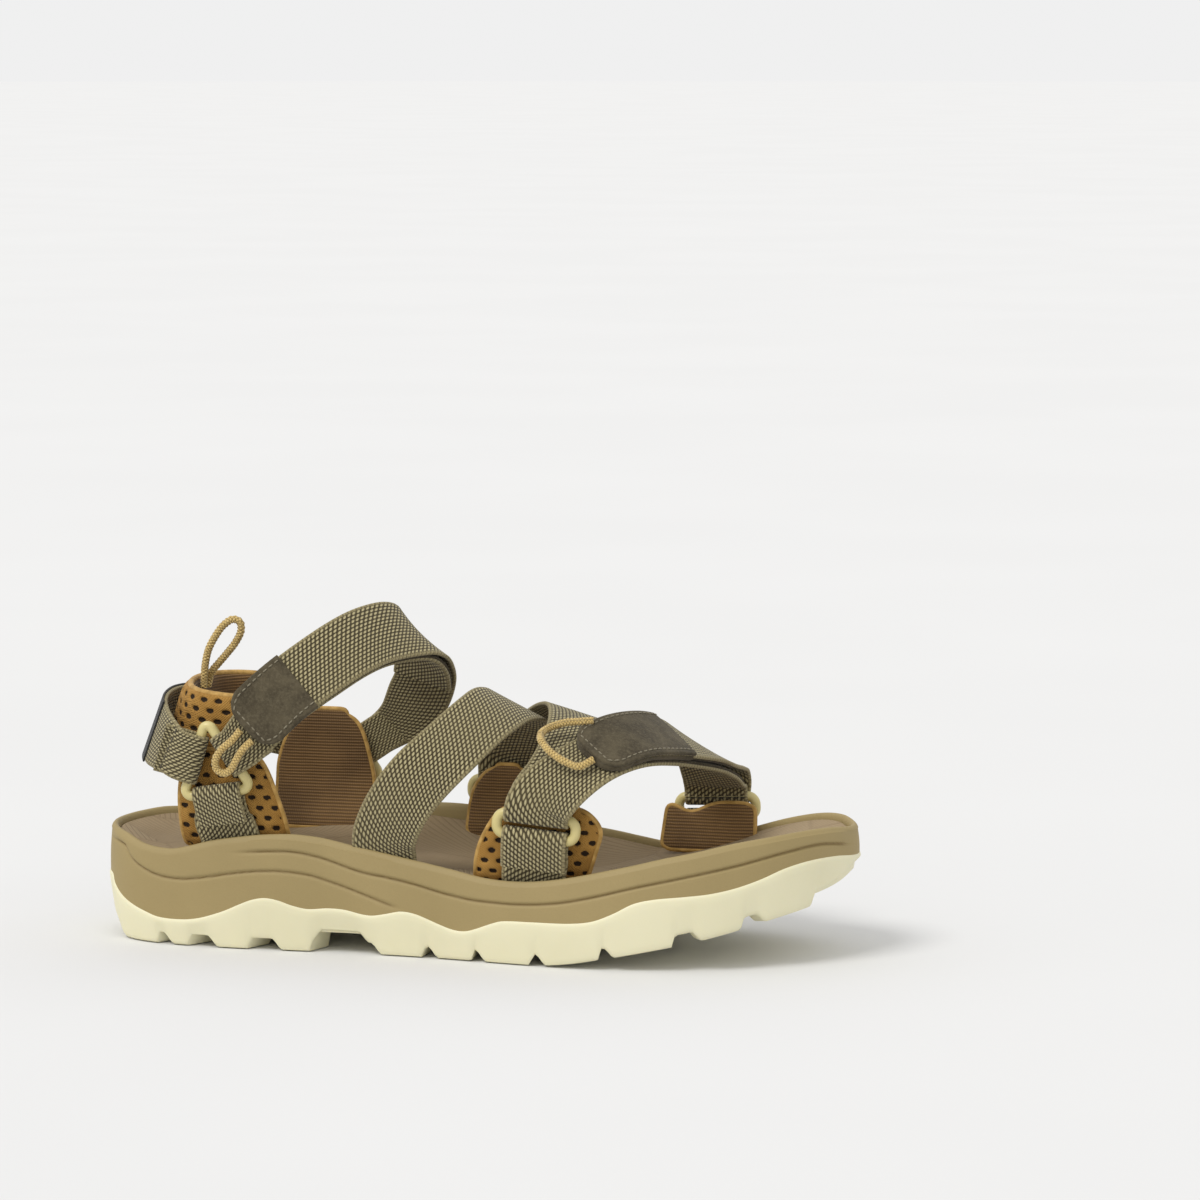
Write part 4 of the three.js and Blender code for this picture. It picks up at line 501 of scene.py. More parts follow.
def suede():
    m = Mat("suede", rough=0.95, spec=0.12, sheen=0.08)
    n1, n2 = m.noise(900, 4, 0.7), m.noise(120, 4, 0.6)
    c = m.mix(m.range(n2, 0.3, 0.72), (0.052, 0.042, 0.026), (0.100, 0.082, 0.050))
    c = m.mix(m.math("MULTIPLY", m.range(n1, 0.4, 0.75), 0.55), c, (0.142, 0.119, 0.076))
    m.color(c)
    p = m.bump(n1, 0.35, 0.8)
    m.bump(n2, 0.4, 0.4, p)
    return m.m


def perforated():
    m = Mat("perforated_mesh", rough=0.82, spec=0.2, sheen=0.04)
    h = m.attr("hole")
    x, y, z = m.xyz()
    fine = m.math("MULTIPLY", m.math("SINE", m.math("MULTIPLY", m.math("ADD", x, y), 2 * math.pi / 0.0011)), m.math("SINE", m.math("MULTIPLY", z, 2 * math.pi / 0.0009)))
    n2 = m.noise(90, 3)
    c = m.mix(m.range(n2, 0.3, 0.7), (0.300, 0.152, 0.030), (0.410, 0.222, 0.052))
    c = m.mix(m.math("MULTIPLY", m.range(fine, 0.0, 0.9), 0.45), c, (0.21, 0.105, 0.022))
    c = m.mix(m.range(h, 0.3, 0.75), c, (0.022, 0.012, 0.005))
    m.color(c)
    m.bump(fine, 0.16, 0.7)
    return m.m


def knit():
    m = Mat("knit_lining", rough=0.75, spec=0.3, sheen=0.2)
    x, y, z = m.xyz()
    n = m.noise(60, 3)
    zz = m.math("ADD", z, m.math("MULTIPLY", n, 0.0006))
    rib = m.math("MULTIPLY_ADD", m.math("SINE", m.math("MULTIPLY", zz, 2 * math.pi / 0.00118)), 0.5, 0.5)
    st = m.math("MULTIPLY_ADD", m.math("SINE", m.math("MULTIPLY", m.math("ADD", x, m.math("MULTIPLY", y, 0.6)), 2 * math.pi / 0.0009)), 0.5, 0.5)
    base = m.mix(m.range(n, 0.3, 0.7), (0.135, 0.070, 0.020), (0.225, 0.122, 0.038))
    c = m.mix(m.math("MULTIPLY", rib, 0.72), base, (0.058, 0.028, 0.009))
    c = m.mix(m.math("MULTIPLY", m.math("MULTIPLY", st, m.math("SUBTRACT", 1.0, rib)), 0.35), c, (0.34, 0.215, 0.09))
    m.color(c)
    m.bump(m.math("SUBTRACT", 1.0, rib), 0.3, 0.7)
    return m.m


def piping():
    m = Mat("piping", rough=0.7, spec=0.35, sheen=0.1)
    n = m.noise(300, 3)
    m.color(m.mix(m.range(n, 0.3, 0.7), (0.34, 0.195, 0.045), (0.52, 0.315, 0.090)))
    m.bump(n, 0.2, 0.6)
    return m.m


def foam():
    m = Mat("midsole_foam", rough=0.62, spec=0.42)
    n1, n2 = m.noise(1500, 4, 0.65), m.noise(22, 3, 0.5)
    groove_shade = m.attr("groove_painted_shade")
    c = m.mix(m.range(n2, 0.25, 0.75), (0.312, 0.236, 0.100), (0.345, 0.262, 0.114))
    c = m.mix(m.math("MULTIPLY", m.range(n1, 0.45, 0.8), 0.18), c, (0.25, 0.172, 0.066))
    # painted shade: the foam colour is darkened along the wall grooves, where shade falls in the recess
    c = m.mix(m.math("MULTIPLY", m.range(groove_shade, 0.25, 0.95), 0.55), c, (0.19, 0.125, 0.045))
    m.color(c)
    m.bump(n1, 0.12, 0.55)
    return m.m


def footbed_mat():
    m = Mat("footbed_foam", rough=0.8, spec=0.3)
    vec = m.obj()
    vo = m.n("ShaderNodeTexVoronoi", voronoi_dimensions="2D")
    m.link(vec, vo.inputs["Vector"])
    vo.inputs["Scale"].default_value = 34
    sp = m.n("ShaderNodeSeparateColor")
    m.link(vo.outputs["Color"], sp.inputs[0])
    ang = m.math("MULTIPLY", sp.outputs[0], 2.6)
    x, y, z = m.xyz()
    q = m.math("ADD", m.math("MULTIPLY", x, m.math("COSINE", ang)), m.math("MULTIPLY", y, m.math("SINE", ang)))
    line = m.math("MULTIPLY_ADD", m.math("SINE", m.math("MULTIPLY", q, 2 * math.pi / 0.0021)), 0.5, 0.5)
    ed = m.n("ShaderNodeTexVoronoi", voronoi_dimensions="2D", feature="DISTANCE_TO_EDGE")
    m.link(vec, ed.inputs["Vector"])
    ed.inputs["Scale"].default_value = 34
    crease = m.range(ed.outputs["Distance"], 0.0, 0.05)
    n1, n2 = m.noise(1300, 3), m.noise(25, 3)
    c = m.mix(m.range(n2, 0.3, 0.7), (0.275, 0.200, 0.112), (0.330, 0.245, 0.145))
    c = m.mix(m.math("MULTIPLY", sp.outputs[1], 0.25), c, (0.385, 0.300, 0.190))
    c = m.mix(m.math("MULTIPLY", m.range(line, 0.75, 1.0), 0.35), c, (0.17, 0.115, 0.06))
    c = m.mix(m.math("MULTIPLY", m.math("SUBTRACT", 1.0, crease), 0.3), c, (0.20, 0.14, 0.08))
    m.color(c)
    p = m.bump(m.math("SUBTRACT", 1.0, m.range(line, 0.6, 1.0)), 0.3, 0.5)
    m.bump(n1, 0.12, 0.4, p)
    return m.m


def cream():
    m = Mat("outsole_rubber", rough=0.5, spec=0.45)
    n1, n2 = m.noise(700, 3), m.noise(20, 3)
    m.color(m.mix(m.range(n2, 0.25, 0.75), (0.730, 0.688, 0.470), (0.780, 0.738, 0.515)))
    m.bump(n1, 0.08, 0.35)
    m.b.inputs["Subsurface Weight"].default_value = 0.08
    m.b.inputs["Subsurface Radius"].default_value = (0.004, 0.003, 0.0015)
    return m.m


def plastic():
    m = Mat("ring_plastic", rough=0.36, spec=0.5)
    n1, n2 = m.noise(800, 3), m.noise(60, 3)
    m.color(m.mix(m.range(n2, 0.3, 0.7), (0.560, 0.470, 0.195), (0.630, 0.540, 0.240)))
    m.bump(n1, 0.05, 0.4)
    return m.m


def braid():
    m = Mat("braided_cord", rough=0.7, spec=0.3, sheen=0.2)
    u, v = m.uv()
    a = m.math("SINE", m.math("ADD", m.math("MULTIPLY", u, 2.6), m.math("MULTIPLY", v, 2 * math.pi / 4.5)))
    b = m.math("SINE", m.math("SUBTRACT", m.math("MULTIPLY", u, 2.6), m.math("MULTIPLY", v, 2 * math.pi / 4.5)))
    f = m.math("ABSOLUTE", m.math("MULTIPLY", a, b))
    n = m.noise(1200, 2)
    c = m.mix(m.range(f, 0.0, 0.45), (0.20, 0.12, 0.030), (0.62, 0.44, 0.155))
    c = m.mix(m.math("MULTIPLY", m.range(n, 0.4, 0.7), 0.3), c, (0.76, 0.60, 0.30))
    m.color(c)
    m.bump(f, 0.3, 0.8)
    return m.m


def pile():
    m = Mat("loop_pile", rough=1.0, spec=0.08, sheen=0.08)
    n1, n2 = m.noise(1500, 3, 0.7), m.noise(300, 3, 0.7)
    m.color(m.mix(m.range(n1, 0.35, 0.7), (0.030, 0.024, 0.014), (0.098, 0.080, 0.048)))
    p = m.bump(n1, 0.5, 0.9)
    m.bump(n2, 0.5, 0.5, p)
    return m.m


def thread(name, c0, c1):
    m = Mat(name, rough=0.6, spec=0.35, sheen=0.1)
    n = m.noise(2500, 2)
    m.color(m.mix(m.range(n, 0.3, 0.7), c0, c1))
    m.bump(n, 0.1, 0.5)
    return m.m


def label_mat():
    m = Mat("label_weave", rough=0.7, spec=0.3, sheen=0.1)
    u, v = m.uv()
    f = m.math("MULTIPLY", m.math("SINE", m.math("MULTIPLY", u, 2 * math.pi / 0.6)), m.math("SINE", m.math("MULTIPLY", v, 2 * math.pi / 0.6)))
    m.color(m.mix(m.range(f, -1, 1), (0.009, 0.009, 0.009), (0.028, 0.027, 0.026)))
    m.bump(f, 0.08, 0.5)
    return m.m


SUEDE, PERF, KNIT, PIPE, FOAM, FOOT, CREAM, RING, CORD, PILE, LABEL = suede(), perforated(), knit(), piping(), foam(), footbed_mat(), cream(), plastic(), braid(), pile(), label_mat()
TH_LIGHT = thread("thread_light", (0.34, 0.31, 0.20), (0.52, 0.48, 0.32))
TH_DARK = thread("thread_dark", (0.050, 0.042, 0.026), (0.105, 0.090, 0.060))
TH_GOLD = thread("thread_gold", (0.44, 0.27, 0.08), (0.62, 0.40, 0.15))

# ---------------------------------------------------------------- cords
CORD_R = 1.4
HEEL_PULL = [[-109.7, -1.9, 95.5], [-109.5, -1.9, 100], [-109.0, -2.0, 105], [-107.6, -2.2, 110.5], [-105.0, -2.4, 115.4], [-101.4, -2.4, 120.2], [-97.6, -2.2, 122.6], [-95.0, -1.8, 121.6], [-94.6, -1.4, 118.4], [-97.0, -0.6, 113.6], [-100.8, 0.2, 109], [-104.4, 0.9, 105.0], [-107.6, 1.4, 101.2], [-109.3, 1.6, 95.5]]
ANKLE_PULL = [[-81.8, -45.6, 86.0], [-84.6, -46.6, 82.4], [-88.6, -47.2, 78.8], [-91.4, -46.8, 74.6], [-91.2, -46.2, 70.8], [-88.2, -46.2, 69.2], [-85.2, -46.6, 71.2], [-83.2, -46.9, 74.6], [-80.6, -47.0, 78.6], [-77.0, -46.2, 82.2]]
FORE_PULL = [[55.6, -46.6, 79.4], [50.4, -49.0, 77.0], [45.5, -49.4, 78.6], [40.4, -48.2, 81.2], [36, -45, 84.4], [33.8, -40.4, 86.6], [34.4, -35.6, 88.2], [37.4, -33.2, 89.6], [42.0, -33.2, 91.0], [47.6, -33.6, 91.6], [52.6, -33.0, 92.0]]
for nm, pts, body in (("heel_pull_loop", HEEL_PULL, "heel_pull"), ("ankle_pull_loop", ANKLE_PULL, "ankle_pull"), ("forefoot_pull_loop", FORE_PULL, "forefoot_pull")):
    v, f, uv = tube(pts, CORD_R, 24, 0.35, braid=0.34)
    place(new_mesh(nm, v, f, [CORD], uv=uv), body, "cord", nm.replace("loop", "cord"))

# ---------------------------------------------------------------- sole tables
RIM_L = table([[-147.5, 43], [-144, 42.6], [-136, 41.2], [-127, 38.2], [-116, 37.2], [-108.6, 38.5], [-97.5, 41.5], [-86.7, 43.3], [-76, 44.6], [-65, 45], [-53.7, 44], [-43, 41.9], [-32.4, 39.9], [-21.7, 38], [-11, 36.2], [0, 34.3], [10.5, 32.4], [20.8, 31.6], [31, 31.9], [41, 33.2], [51, 35.2], [61, 37.5], [71, 39.8], [83, 42.7], [94, 44.9], [108, 48], [121, 49.9], [133.5, 51.2], [141.4, 51], [147.5, 49.5]])
RIM_M = table([[-147.5, 43], [-143, 43.4], [-134.7, 44], [-120, 43], [-100, 44], [-80, 46], [-50, 48], [-21, 48], [-11, 47.3], [5, 44.8], [20, 41.8], [37, 38.6], [46, 36.8], [55, 34.8], [65, 33], [76, 33.4], [88, 36.4], [100, 40.4], [115, 45.2], [130, 49], [140, 50.2], [147.5, 49.5]])
OB_L = table([[-147.5, 24.5], [-142.6, 24.1], [-141.2, 20.9], [-136.9, 17.1], [-132, 14.6], [-125.4, 12.3], [-119, 10.6], [-109, 10.4], [-102.4, 11.3], [-96.8, 12.9], [-91.3, 14.9], [-86, 17.3], [-80.5, 19.5], [-75.2, 20.4], [-69.8, 19.6], [-64.5, 17.9], [-58.3, 16.8], [-50.3, 17.4], [-43.5, 17.1], [-37.2, 15.8], [-32.8, 15.4], [-27.4, 16.3], [-21, 17.6], [-15.5, 17], [-10.3, 15.3], [-4.8, 13.3], [0.6, 11.8], [5, 11.7], [8.7, 12.7], [15.2, 15.2], [20, 16.6], [31.7, 17], [46.8, 17.4], [55.8, 18.7], [63.7, 21.9], [71.4, 25.9], [79, 27.7], [90.2, 28.8], [99.4, 29.8], [108.4, 31.7], [117.2, 34.6], [125.7, 38.2], [134, 40.2], [141.9, 40.3], [147.5, 38.8]])
OB_M = table([[-147.5, 24.5], [-142.6, 24.1], [-138, 18.5], [-130, 14], [-119, 10.8], [-107, 11.2], [-95, 14], [-84, 18.5], [-74, 20.5], [-64, 18], [-50, 17.6], [-36, 17], [-22, 18], [-8, 15], [4, 12.2], [16, 14.8], [30, 17], [46, 17.4], [58, 18.4], [70, 22], [82, 26.4], [95, 29], [108, 32], [120, 36], [132, 39.6], [141, 40.2], [147.5, 38.8]])
_zb = table([[-147.5, 9], [-144.5, 4.5], [-141, 1.6], [-136, 0.3], [-130, 0], [-60, 0], [0, 0], [32, 0], [45, 1.2], [60, 4], [75, 7], [90, 10.2], [105, 14], [120, 18.4], [133, 22], [142, 25.5], [147.5, 31]])
FB_C = table([[-147.5, 40], [-120, 36], [-90, 35.8], [-60, 36.6], [-30, 35], [0, 31], [25, 27.8], [50, 27.6], [75, 30.4], [100, 35.6], [120, 40.6], [135, 44], [147.5, 46]])
G1 = table([[-87.1, 37.1], [-73.8, 38.2], [-63.7, 38.2], [-53.2, 36.4], [-37.4, 31.7], [-26.6, 30.0], [-15.7, 27.9], [-5, 25.4], [5.9, 23.6], [10.9, 23.2], [26.3, 23], [41.7, 24.4], [56.6, 27.6], [71.1, 31.4], [90, 35.6], [108.2, 39.6], [125.6, 43.8], [137.7, 45.5], [147.3, 43]])
G2 = table([[-146, 38], [-135.4, 36.3], [-131.7, 31.7], [-126.4, 28.7], [-120.5, 26.7], [-113.5, 25.8], [-107.7, 25.9], [-99.4, 27.1], [-91.2, 28.6], [-83.1, 29.8], [-75.1, 30.5], [-67.2, 30.5], [-58.2, 29.6], [-53, 28.3], [-42.3, 25.1], [-31.7, 21.5], [-23.6, 18.8], [-21.6, 18.2]])


def ZB(x):
    return np.maximum(0, _zb(x))


SL, SM = np.array(SIDE_L, float), np.array(SIDE_M, float)
_t = np.linspace(0, 1, len(SL))


def side(u, v):
    T = SL if v < 0 else SM
    return np.stack([np.interp(u, _t, T[:, 0]), np.interp(u, _t, T[:, 1])], -1)


NS = 330
_s = np.linspace(0, 1, NS)
U = _s + 0.35 * np.sin(2 * np.pi * _s) / (-2 * np.pi)
EL, EM = side(U, -1), side(U, 1)
SP = np.stack([0.78 * (EL[:, 0] + EM[:, 0]) / 2, (EL[:, 1] + EM[:, 1]) / 2], -1)


def plan(v, inset):
    """(NS, 2) positions inset from one edge towards the spine; also returns the inset really used"""
    o = EL if v < 0 else EM
    d = SP - o
    ln = np.linalg.norm(d, axis=1)
    m = np.minimum(inset, ln)
    return o + d * (m / np.maximum(ln, 1e-9))[:, None], m, ln


def rowp(v, inset, z):
    p, m, ln = plan(v, inset)
    z = np.broadcast_to(z, (NS,))
    return np.concatenate([p, z[:, None]], 1)


def build(rows, mats, name, attrs=None, uv=None, sharp=38):
    R = np.stack(rows, 1)
    K = R.shape[1]
    f = grid_faces(NS, K, True).tolist()
    f = orient(f, R.reshape(-1, 3))
    return new_mesh(name, R.reshape(-1, 3), f, mats, attr=attrs, sharp=sharp)


# ---- outsole
LUGS = [(-141, -120.5), (-117.5, -107), (-99, -82.5), (-73, -57.5), (-33, -12), (-10, 8), (9.6, 32), (34, 59), (61, 87), (94, 112), (117, 136)]
CHEV = [-122, -104, -86, -68, -22, -2, 18, 38, 58, 78, 98, 116]


def lug_mask(x, y, v, m, ln, xe):
    edge = np.zeros_like(x)
    for a, b in LUGS:
        depth = 15 if b < -50 else 13
        k = smooth(a - 1.0, a + 3.6, xe) * (1 - smooth(b - 1.0, b + 0.6, xe))
        edge = np.maximum(edge, k * (1 - smooth(depth - 0.5, depth + 1.0, m)))
    yc = (np.interp(x, SL[:, 0], SL[:, 1]) + np.interp(x, SM[:, 0], SM[:, 1])) / 2
    hw = (np.interp(x, SM[:, 0], SM[:, 1]) - np.interp(x, SL[:, 0], SL[:, 1])) / 2
    h = np.minimum(16, hw - 18)
    dy = np.abs(y - yc)
    for c in CHEV:
        t = x - (c + 3.5 - dy * 0.36)
        k = (1 - smooth(2.6, 3.8, np.abs(t))) * (1 - smooth(h - 0.8, h + 0.8, dy)) * (h > 5)
        edge = np.maximum(edge, k)
    return edge


def outsole():
    rows, bands = [], []
    def lugdepth(x):
        return 4.2 + 4.2 * smooth(-58, -53, x) * (1 - smooth(-39, -34, x))
    for v, E, OB in ((-1, EL, OB_L), (1, EM, OB_M)):
        xe = E[:, 0]
        ob = OB(xe)
        zb = ZB(xe)
        side_rows = [rowp(v, 3.2, np.minimum(ob, zb + 8) - 0.5), rowp(v, 3.0, ob - 0.4), rowp(v, 1.4, ob - 0.15), rowp(v, 0.5, ob - 0.2), rowp(v, 0.12, ob - 0.7), rowp(v, 0.0, ob - 1.5)]
        mk = lug_mask(xe, E[:, 1], v, np.full(NS, 1.5), None, xe)
        ze = zb + lugdepth(xe) * (1 - mk)
        for s in np.linspace(0.15, 0.93, 9):
            side_rows.append(rowp(v, 1.9 * s**1.6 + 0.25 * math.sin(s * 3.14), ob - 1.5 + (ze - ob + 1.5) * s))
        side_rows.append(rowp(v, 2.1, ze + 0.25))
        bot = []
        for m in [2.7, 4, 5.5, 7, 8.5, 10, 11.5, 12.5, 13.5, 14.5, 15.5, 16.5, 18, 20, 22, 24, 26, 28, 30, 32, 34, 36, 38, 40, 42, 44, 46]:
            p, mm, ln = plan(v, m)
            k = lug_mask(p[:, 0], p[:, 1], v, mm, ln, xe)
            z = ZB(p[:, 0]) + lugdepth(p[:, 0]) * (1 - k)
            bot.append(np.concatenate([p, z[:, None]], 1))
        bands.append((side_rows, bot))
    c = rowp(-1, 1e9, 0.0)
    k = lug_mask(c[:, 0], c[:, 1], 0, np.full(NS, 50.0), None, c[:, 0] * 0 - 999)
    c[:, 2] = ZB(c[:, 0]) + lugdepth(c[:, 0]) * (1 - k)
    top = rowp(-1, 1e9, 0.0)
    top[:, 2] = ZB(top[:, 0]) + 7.6
    (sl, bl), (sm, bm) = bands
    rows = [top] + sl + bl + [c] + bm[::-1] + sm[::-1]
    return build(rows, [CREAM], "outsole_shell", sharp=35)


place(outsole(), "sandal", "outsole", "outsole")


# ---- midsole
def midsole():
    rows, gr = [], []
    def wall(v):
        E, RIM, OB = (EL, RIM_L, OB_L) if v < 0 else (EM, RIM_M, OB_M)
        x = E[:, 0]
        rim, ob = RIM(x), OB(x)
        out, groove_shade = [], []
        shelf_in = 4.4
        zs = np.minimum(FB_C(x), rim - 6) - 4
        prof = [(shelf_in + 3, -99), (4.5, -99), (4.3, -3.4), (4.0, -1.5), (3.5, -0.5), (2.9, -0.06), (2.3, 0.0), (1.8, -0.3), (1.35, -0.85), (1.05, -1.6)]
        for m, dz in prof:
            out.append(rowp(v, m, zs if dz == -99 else rim + dz))
            groove_shade.append(np.zeros(NS))
        n = 46
        z0, z1 = rim - 1.6, ob - 0.9
        scale = 1.0
        g1 = G1(x) if v < 0 else rim - np.interp(x, [-150, -87, -20, 10, 60, 147], [7, 6.5, 9, 12, 8, 6])
        g2 = G2(x) if v < 0 else ob + np.interp(x, [-150, -110, -60, -22], [12, 13, 10, 2])
        on1 = smooth(-92, -76, x) * (1 - smooth(143, 147, x))
        on2 = smooth(-146, -138, x) * (1 - smooth(-27, -20, x))
        for s in np.linspace(0.02, 1, n):
            z = z0 + (z1 - z0) * s
            dep = on1 * np.exp(-(((z - g1) / 0.62) ** 2)) + on2 * np.exp(-(((z - g2) / 0.62) ** 2))
            step = 0.55 * on1 * smooth(-0.4, 1.6, z - g1) + 0.45 * on2 * smooth(-0.4, 1.6, z - g2)
            inset = 1.05 - 0.75 * s + 0.85 * dep - step * (1 - s) + 0.2 - 0.3 * np.sin(np.pi * s)
            q = rowp(v, 0, 0.0)
            p, m, ln = plan(v, np.maximum(inset, 0.05))
            out.append(np.concatenate([p, z[:, None]], 1))
            # groove depth is also kept as the mask for the painted groove shade on the foam
            groove_shade.append(dep)
        out.append(rowp(v, 1.6, ob - 1.0))
        groove_shade.append(np.zeros(NS))
        out.append(rowp(v, 6, np.minimum(ob, ZB(x) + 9)))
        groove_shade.append(np.zeros(NS))
        return out, groove_shade
    wl, groove_shade_l = wall(-1)
    wm, groove_shade_m = wall(1)
    c0, c1 = rowp(-1, 1e9, 0.0), rowp(-1, 1e9, 0.0)
    c0[:, 2] = FB_C(c0[:, 0]) - 4
    c1[:, 2] = ZB(c1[:, 0]) + 9
    rows = [c0] + wl + [c1] + wm[::-1]
    groove_shade = [np.zeros(NS)] + groove_shade_l + [np.zeros(NS)] + groove_shade_m[::-1]
    return build(rows, [FOAM], "midsole_shell", attrs={"groove_painted_shade": np.stack(groove_shade, 1).reshape(-1)}, sharp=50)


place(midsole(), "sandal", "midsole", "midsole")


def footbed():
    rows = []
    FB_IN = 4.45
    def at(v, f, under=False):
        E, RIM = (EL, RIM_L) if v < 0 else (EM, RIM_M)
        ln = np.linalg.norm(E - SP, axis=1)
        q = SP + (E - SP) * (np.maximum(0, 1 - FB_IN / np.maximum(ln, 1e-6)) * f)[:, None]
        rz = RIM(E[:, 0])
        c = FB_C(q[:, 0])
        e = np.minimum(rz - 2.2, c + 9)
        z = c + (e - c) * f**3.2
        z = z - (0.0 if f < 0.985 else 0.9 * ((f - 0.985) / 0.015) ** 2)
        if under:
            z = np.minimum(FB_C(q[:, 0]) - 3.9, rz - 6)
        return np.concatenate([q, z[:, None]], 1)
    fr = [0.0, 0.08, 0.16, 0.24, 0.32, 0.4, 0.48, 0.56, 0.64, 0.72, 0.78, 0.84, 0.89, 0.93, 0.96, 0.98, 0.992, 1.0]
    top = [at(1, f) for f in fr[::-1]] + [at(-1, f) for f in fr[1:]]
    und = [at(-1, f, True) for f in (1.0, 0.7, 0.3)] + [at(1, f, True) for f in (0.3, 0.7, 1.0)]
    return build(top + und, [FOOT], "footbed_shell", sharp=45)


place(footbed(), "sandal", "footbed", "footbed")


# ---------------------------------------------------------------- straps
def pinch_start(k0, k1, f):
    return lambda k: f + (1 - f) * smooth(k0, k1, k)


def pinch_end(k0, k1, f, n):
    return lambda k: f + (1 - f) * smooth(k0, k1, n - k)


nH, nA, nF = len(D["heel"]) - 1, len(D["ankle"]) - 1, len(D["flap"]) - 1
place(strap("heel_webbing", "heel", [WEB], width=24.6, ends=lambda k: np.minimum(pinch_start(10.2, 12.6, 0.78)(k), pinch_end(10.2, 12.6, 0.78, nH)(k)), wob=0.06, crown=0.15), "sandal", "webbing", "heel_strap")
place(strap("label_fold", "heel", [LABEL], width=25.2, o=(WEB_T - 0.05, WEB_T + 0.75), t=(12.4 / nH, 16.6 / nH), er=0.3), "sandal", "label", "heel_label")
place(strap("ankle_under_webbing", "under", [WEB], ends=pinch_start(9.6, 11.4, 0.7), wob=0.12), "sandal", "webbing", "ankle_under_strap")
nU = len(D["under"]) - 1
place(strap("ankle_loop_pile", "under", [PILE], width=24.4, o=(WEB_T - 0.15, WEB_T + 0.95), t=(11.6 / nU, 1.0), er=0.4), "sandal", "hook_and_loop", "ankle_loop_patch")

SHF = (SHIFT * S3)


def hinge_points(key, k, before, after, toward):
    fr = ribbon_frame(D[key], SIGN[key])
    c, tan, w, n = fr([k / (len(D[key]) - 1)])
    d = tan[0] * toward
    return tuple(M3(c[0] - d * before)), tuple(M3(c[0] + d * after))


ankle_web = strap("ankle_webbing", "ankle", [WEB], t=(0.5 / nA, 1.0), ends=pinch_end(10.0, 12.0, 0.64, nA), wob=0.12, crown=0.1)
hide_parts("ankle_strap", "ankle_flap")
sa, ea = hinge_points("ankle", 6.6, 4, 4, -1)
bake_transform(ankle_web)
place(strap("ankle_hook_pile", "ankle", [PILE], width=24.4, o=(-0.95, 0.15), t=(0.5 / nA, 6.2 / nA), er=0.4), "ankle_flap", "hook_and_loop", "ankle_hook_patch")


def round_start(r, hw=13.0):
    return lambda s, L: (hw - r + np.sqrt(np.maximum(0, r * r - (r - np.minimum(s, r)) ** 2))) / hw


def round_end(r, hw=13.0):
    return lambda s, L: round_start(r, hw)(L - s, L)


def tab(name, key, t, shape, rev, node, body):
    ob = strap(name, key, [SUEDE], width=26, o=(WEB_T - 0.25, WEB_T + 1.25), t=t, shape=shape, er=0.7, step=0.6, nw=18, crown=0.35, wob=0.1, seed=5)
    place(ob, body, "suede", node)
    lo = strap(name + "_back", key, [SUEDE], width=25.4, o=(-1.35, WEB_T - 0.2), t=t, shape=shape, er=0.6, step=0.7, nw=14)
    place(lo, body, "suede")
    fr = ribbon_frame(D[key], SIGN[key])
    ts, s = along(fr, t[0], t[1], 0.5)
    c, tan, w, n = fr(ts)
    fac = shape(s, s[-1]) * 13 - 2.2
    items = []
    h = WEB_T + 1.5
    L = s[-1]
    lo_s, hi_s = (0.0, L - 2.4) if rev else (2.4, L)
    path = []
    idx = [i for i in range(len(s)) if lo_s <= s[i] <= hi_s]
    if not rev:
        idx = idx[::-1]
    for i in idx:
        path.append((i, fac[i]))
    end = idx[-1]
    for v in np.linspace(fac[end], -fac[end], 40)[1:-1]:
        path.append((end, v))
    for i in idx[::-1]:
        path.append((i, -fac[i]))
    P = np.array([c[i] + w[i] * v + n[i] * h for i, v in path])
    Nn = np.array([n[i] for i, v in path])
    q = np.concatenate([[0], np.cumsum(np.linalg.norm(np.diff(P, axis=0), axis=1))])
    for d in np.arange(1.2, q[-1] - 0.5, 2.7):
        p = np.array([np.interp(d, q, P[:, k]) for k in range(3)])
        p2 = np.array([np.interp(d + 0.6, q, P[:, k]) for k in range(3)])
        nn = np.array([np.interp(d, q, Nn[:, k]) for k in range(3)])
        items.append((p, p2 - p, nn))
    stitch_mesh(name + "_stitches", items, TH_DARK if False else TH_LIGHT_S, 1.9, 0.33, body, "suede")


TH_LIGHT_S = thread("thread_suede", (0.15, 0.128, 0.082), (0.24, 0.208, 0.14))
tab("ankle_suede", "ankle", (0.0, 1.35 / nA), round_start(8.5), False, "ankle_tab", "ankle_flap")

place(strap("midfoot_webbing", "mid", [WEB], wob=0.12, crown=0.12, seed=3), "sandal", "webbing", "midfoot_strap")
place(strap("cross_webbing", "cross", [WEB], wob=0.12, crown=0.1, seed=4), "sandal", "webbing", "cross_strap")
place(strap("forefoot_webbing", "front", [WEB], wob=0.1, crown=0.1, seed=6), "sandal", "webbing", "forefoot_strap")
nFr = len(D["front"]) - 1
place(strap("forefoot_loop_pile", "front", [PILE], width=24.2, o=(WEB_T - 0.15, WEB_T + 0.95), t=(10.2 / nFr, 15.0 / nFr), er=0.4), "sandal", "hook_and_loop", "forefoot_loop_patch")
flap_web = strap("forefoot_flap_webbing", "flap", [WEB], t=(0.0, (nF - 0.45) / nF), wob=0.1, crown=0.1, seed=7)
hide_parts("forefoot_turn", "forefoot_flap")
sf, ef = hinge_points("flap", 9.0, 3.5, 3.5, 1)
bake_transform(flap_web)
place(strap("forefoot_hook_pile", "flap", [PILE], width=24.2, o=(-0.95, 0.15), t=(9.4 / nF, (nF - 0.5) / nF), er=0.4), "forefoot_flap", "hook_and_loop", "forefoot_hook_patch")
tab("forefoot_suede", "flap", ((nF - 2.6) / nF, 1.0), round_end(9.0), True, "forefoot_tab", "forefoot_flap")

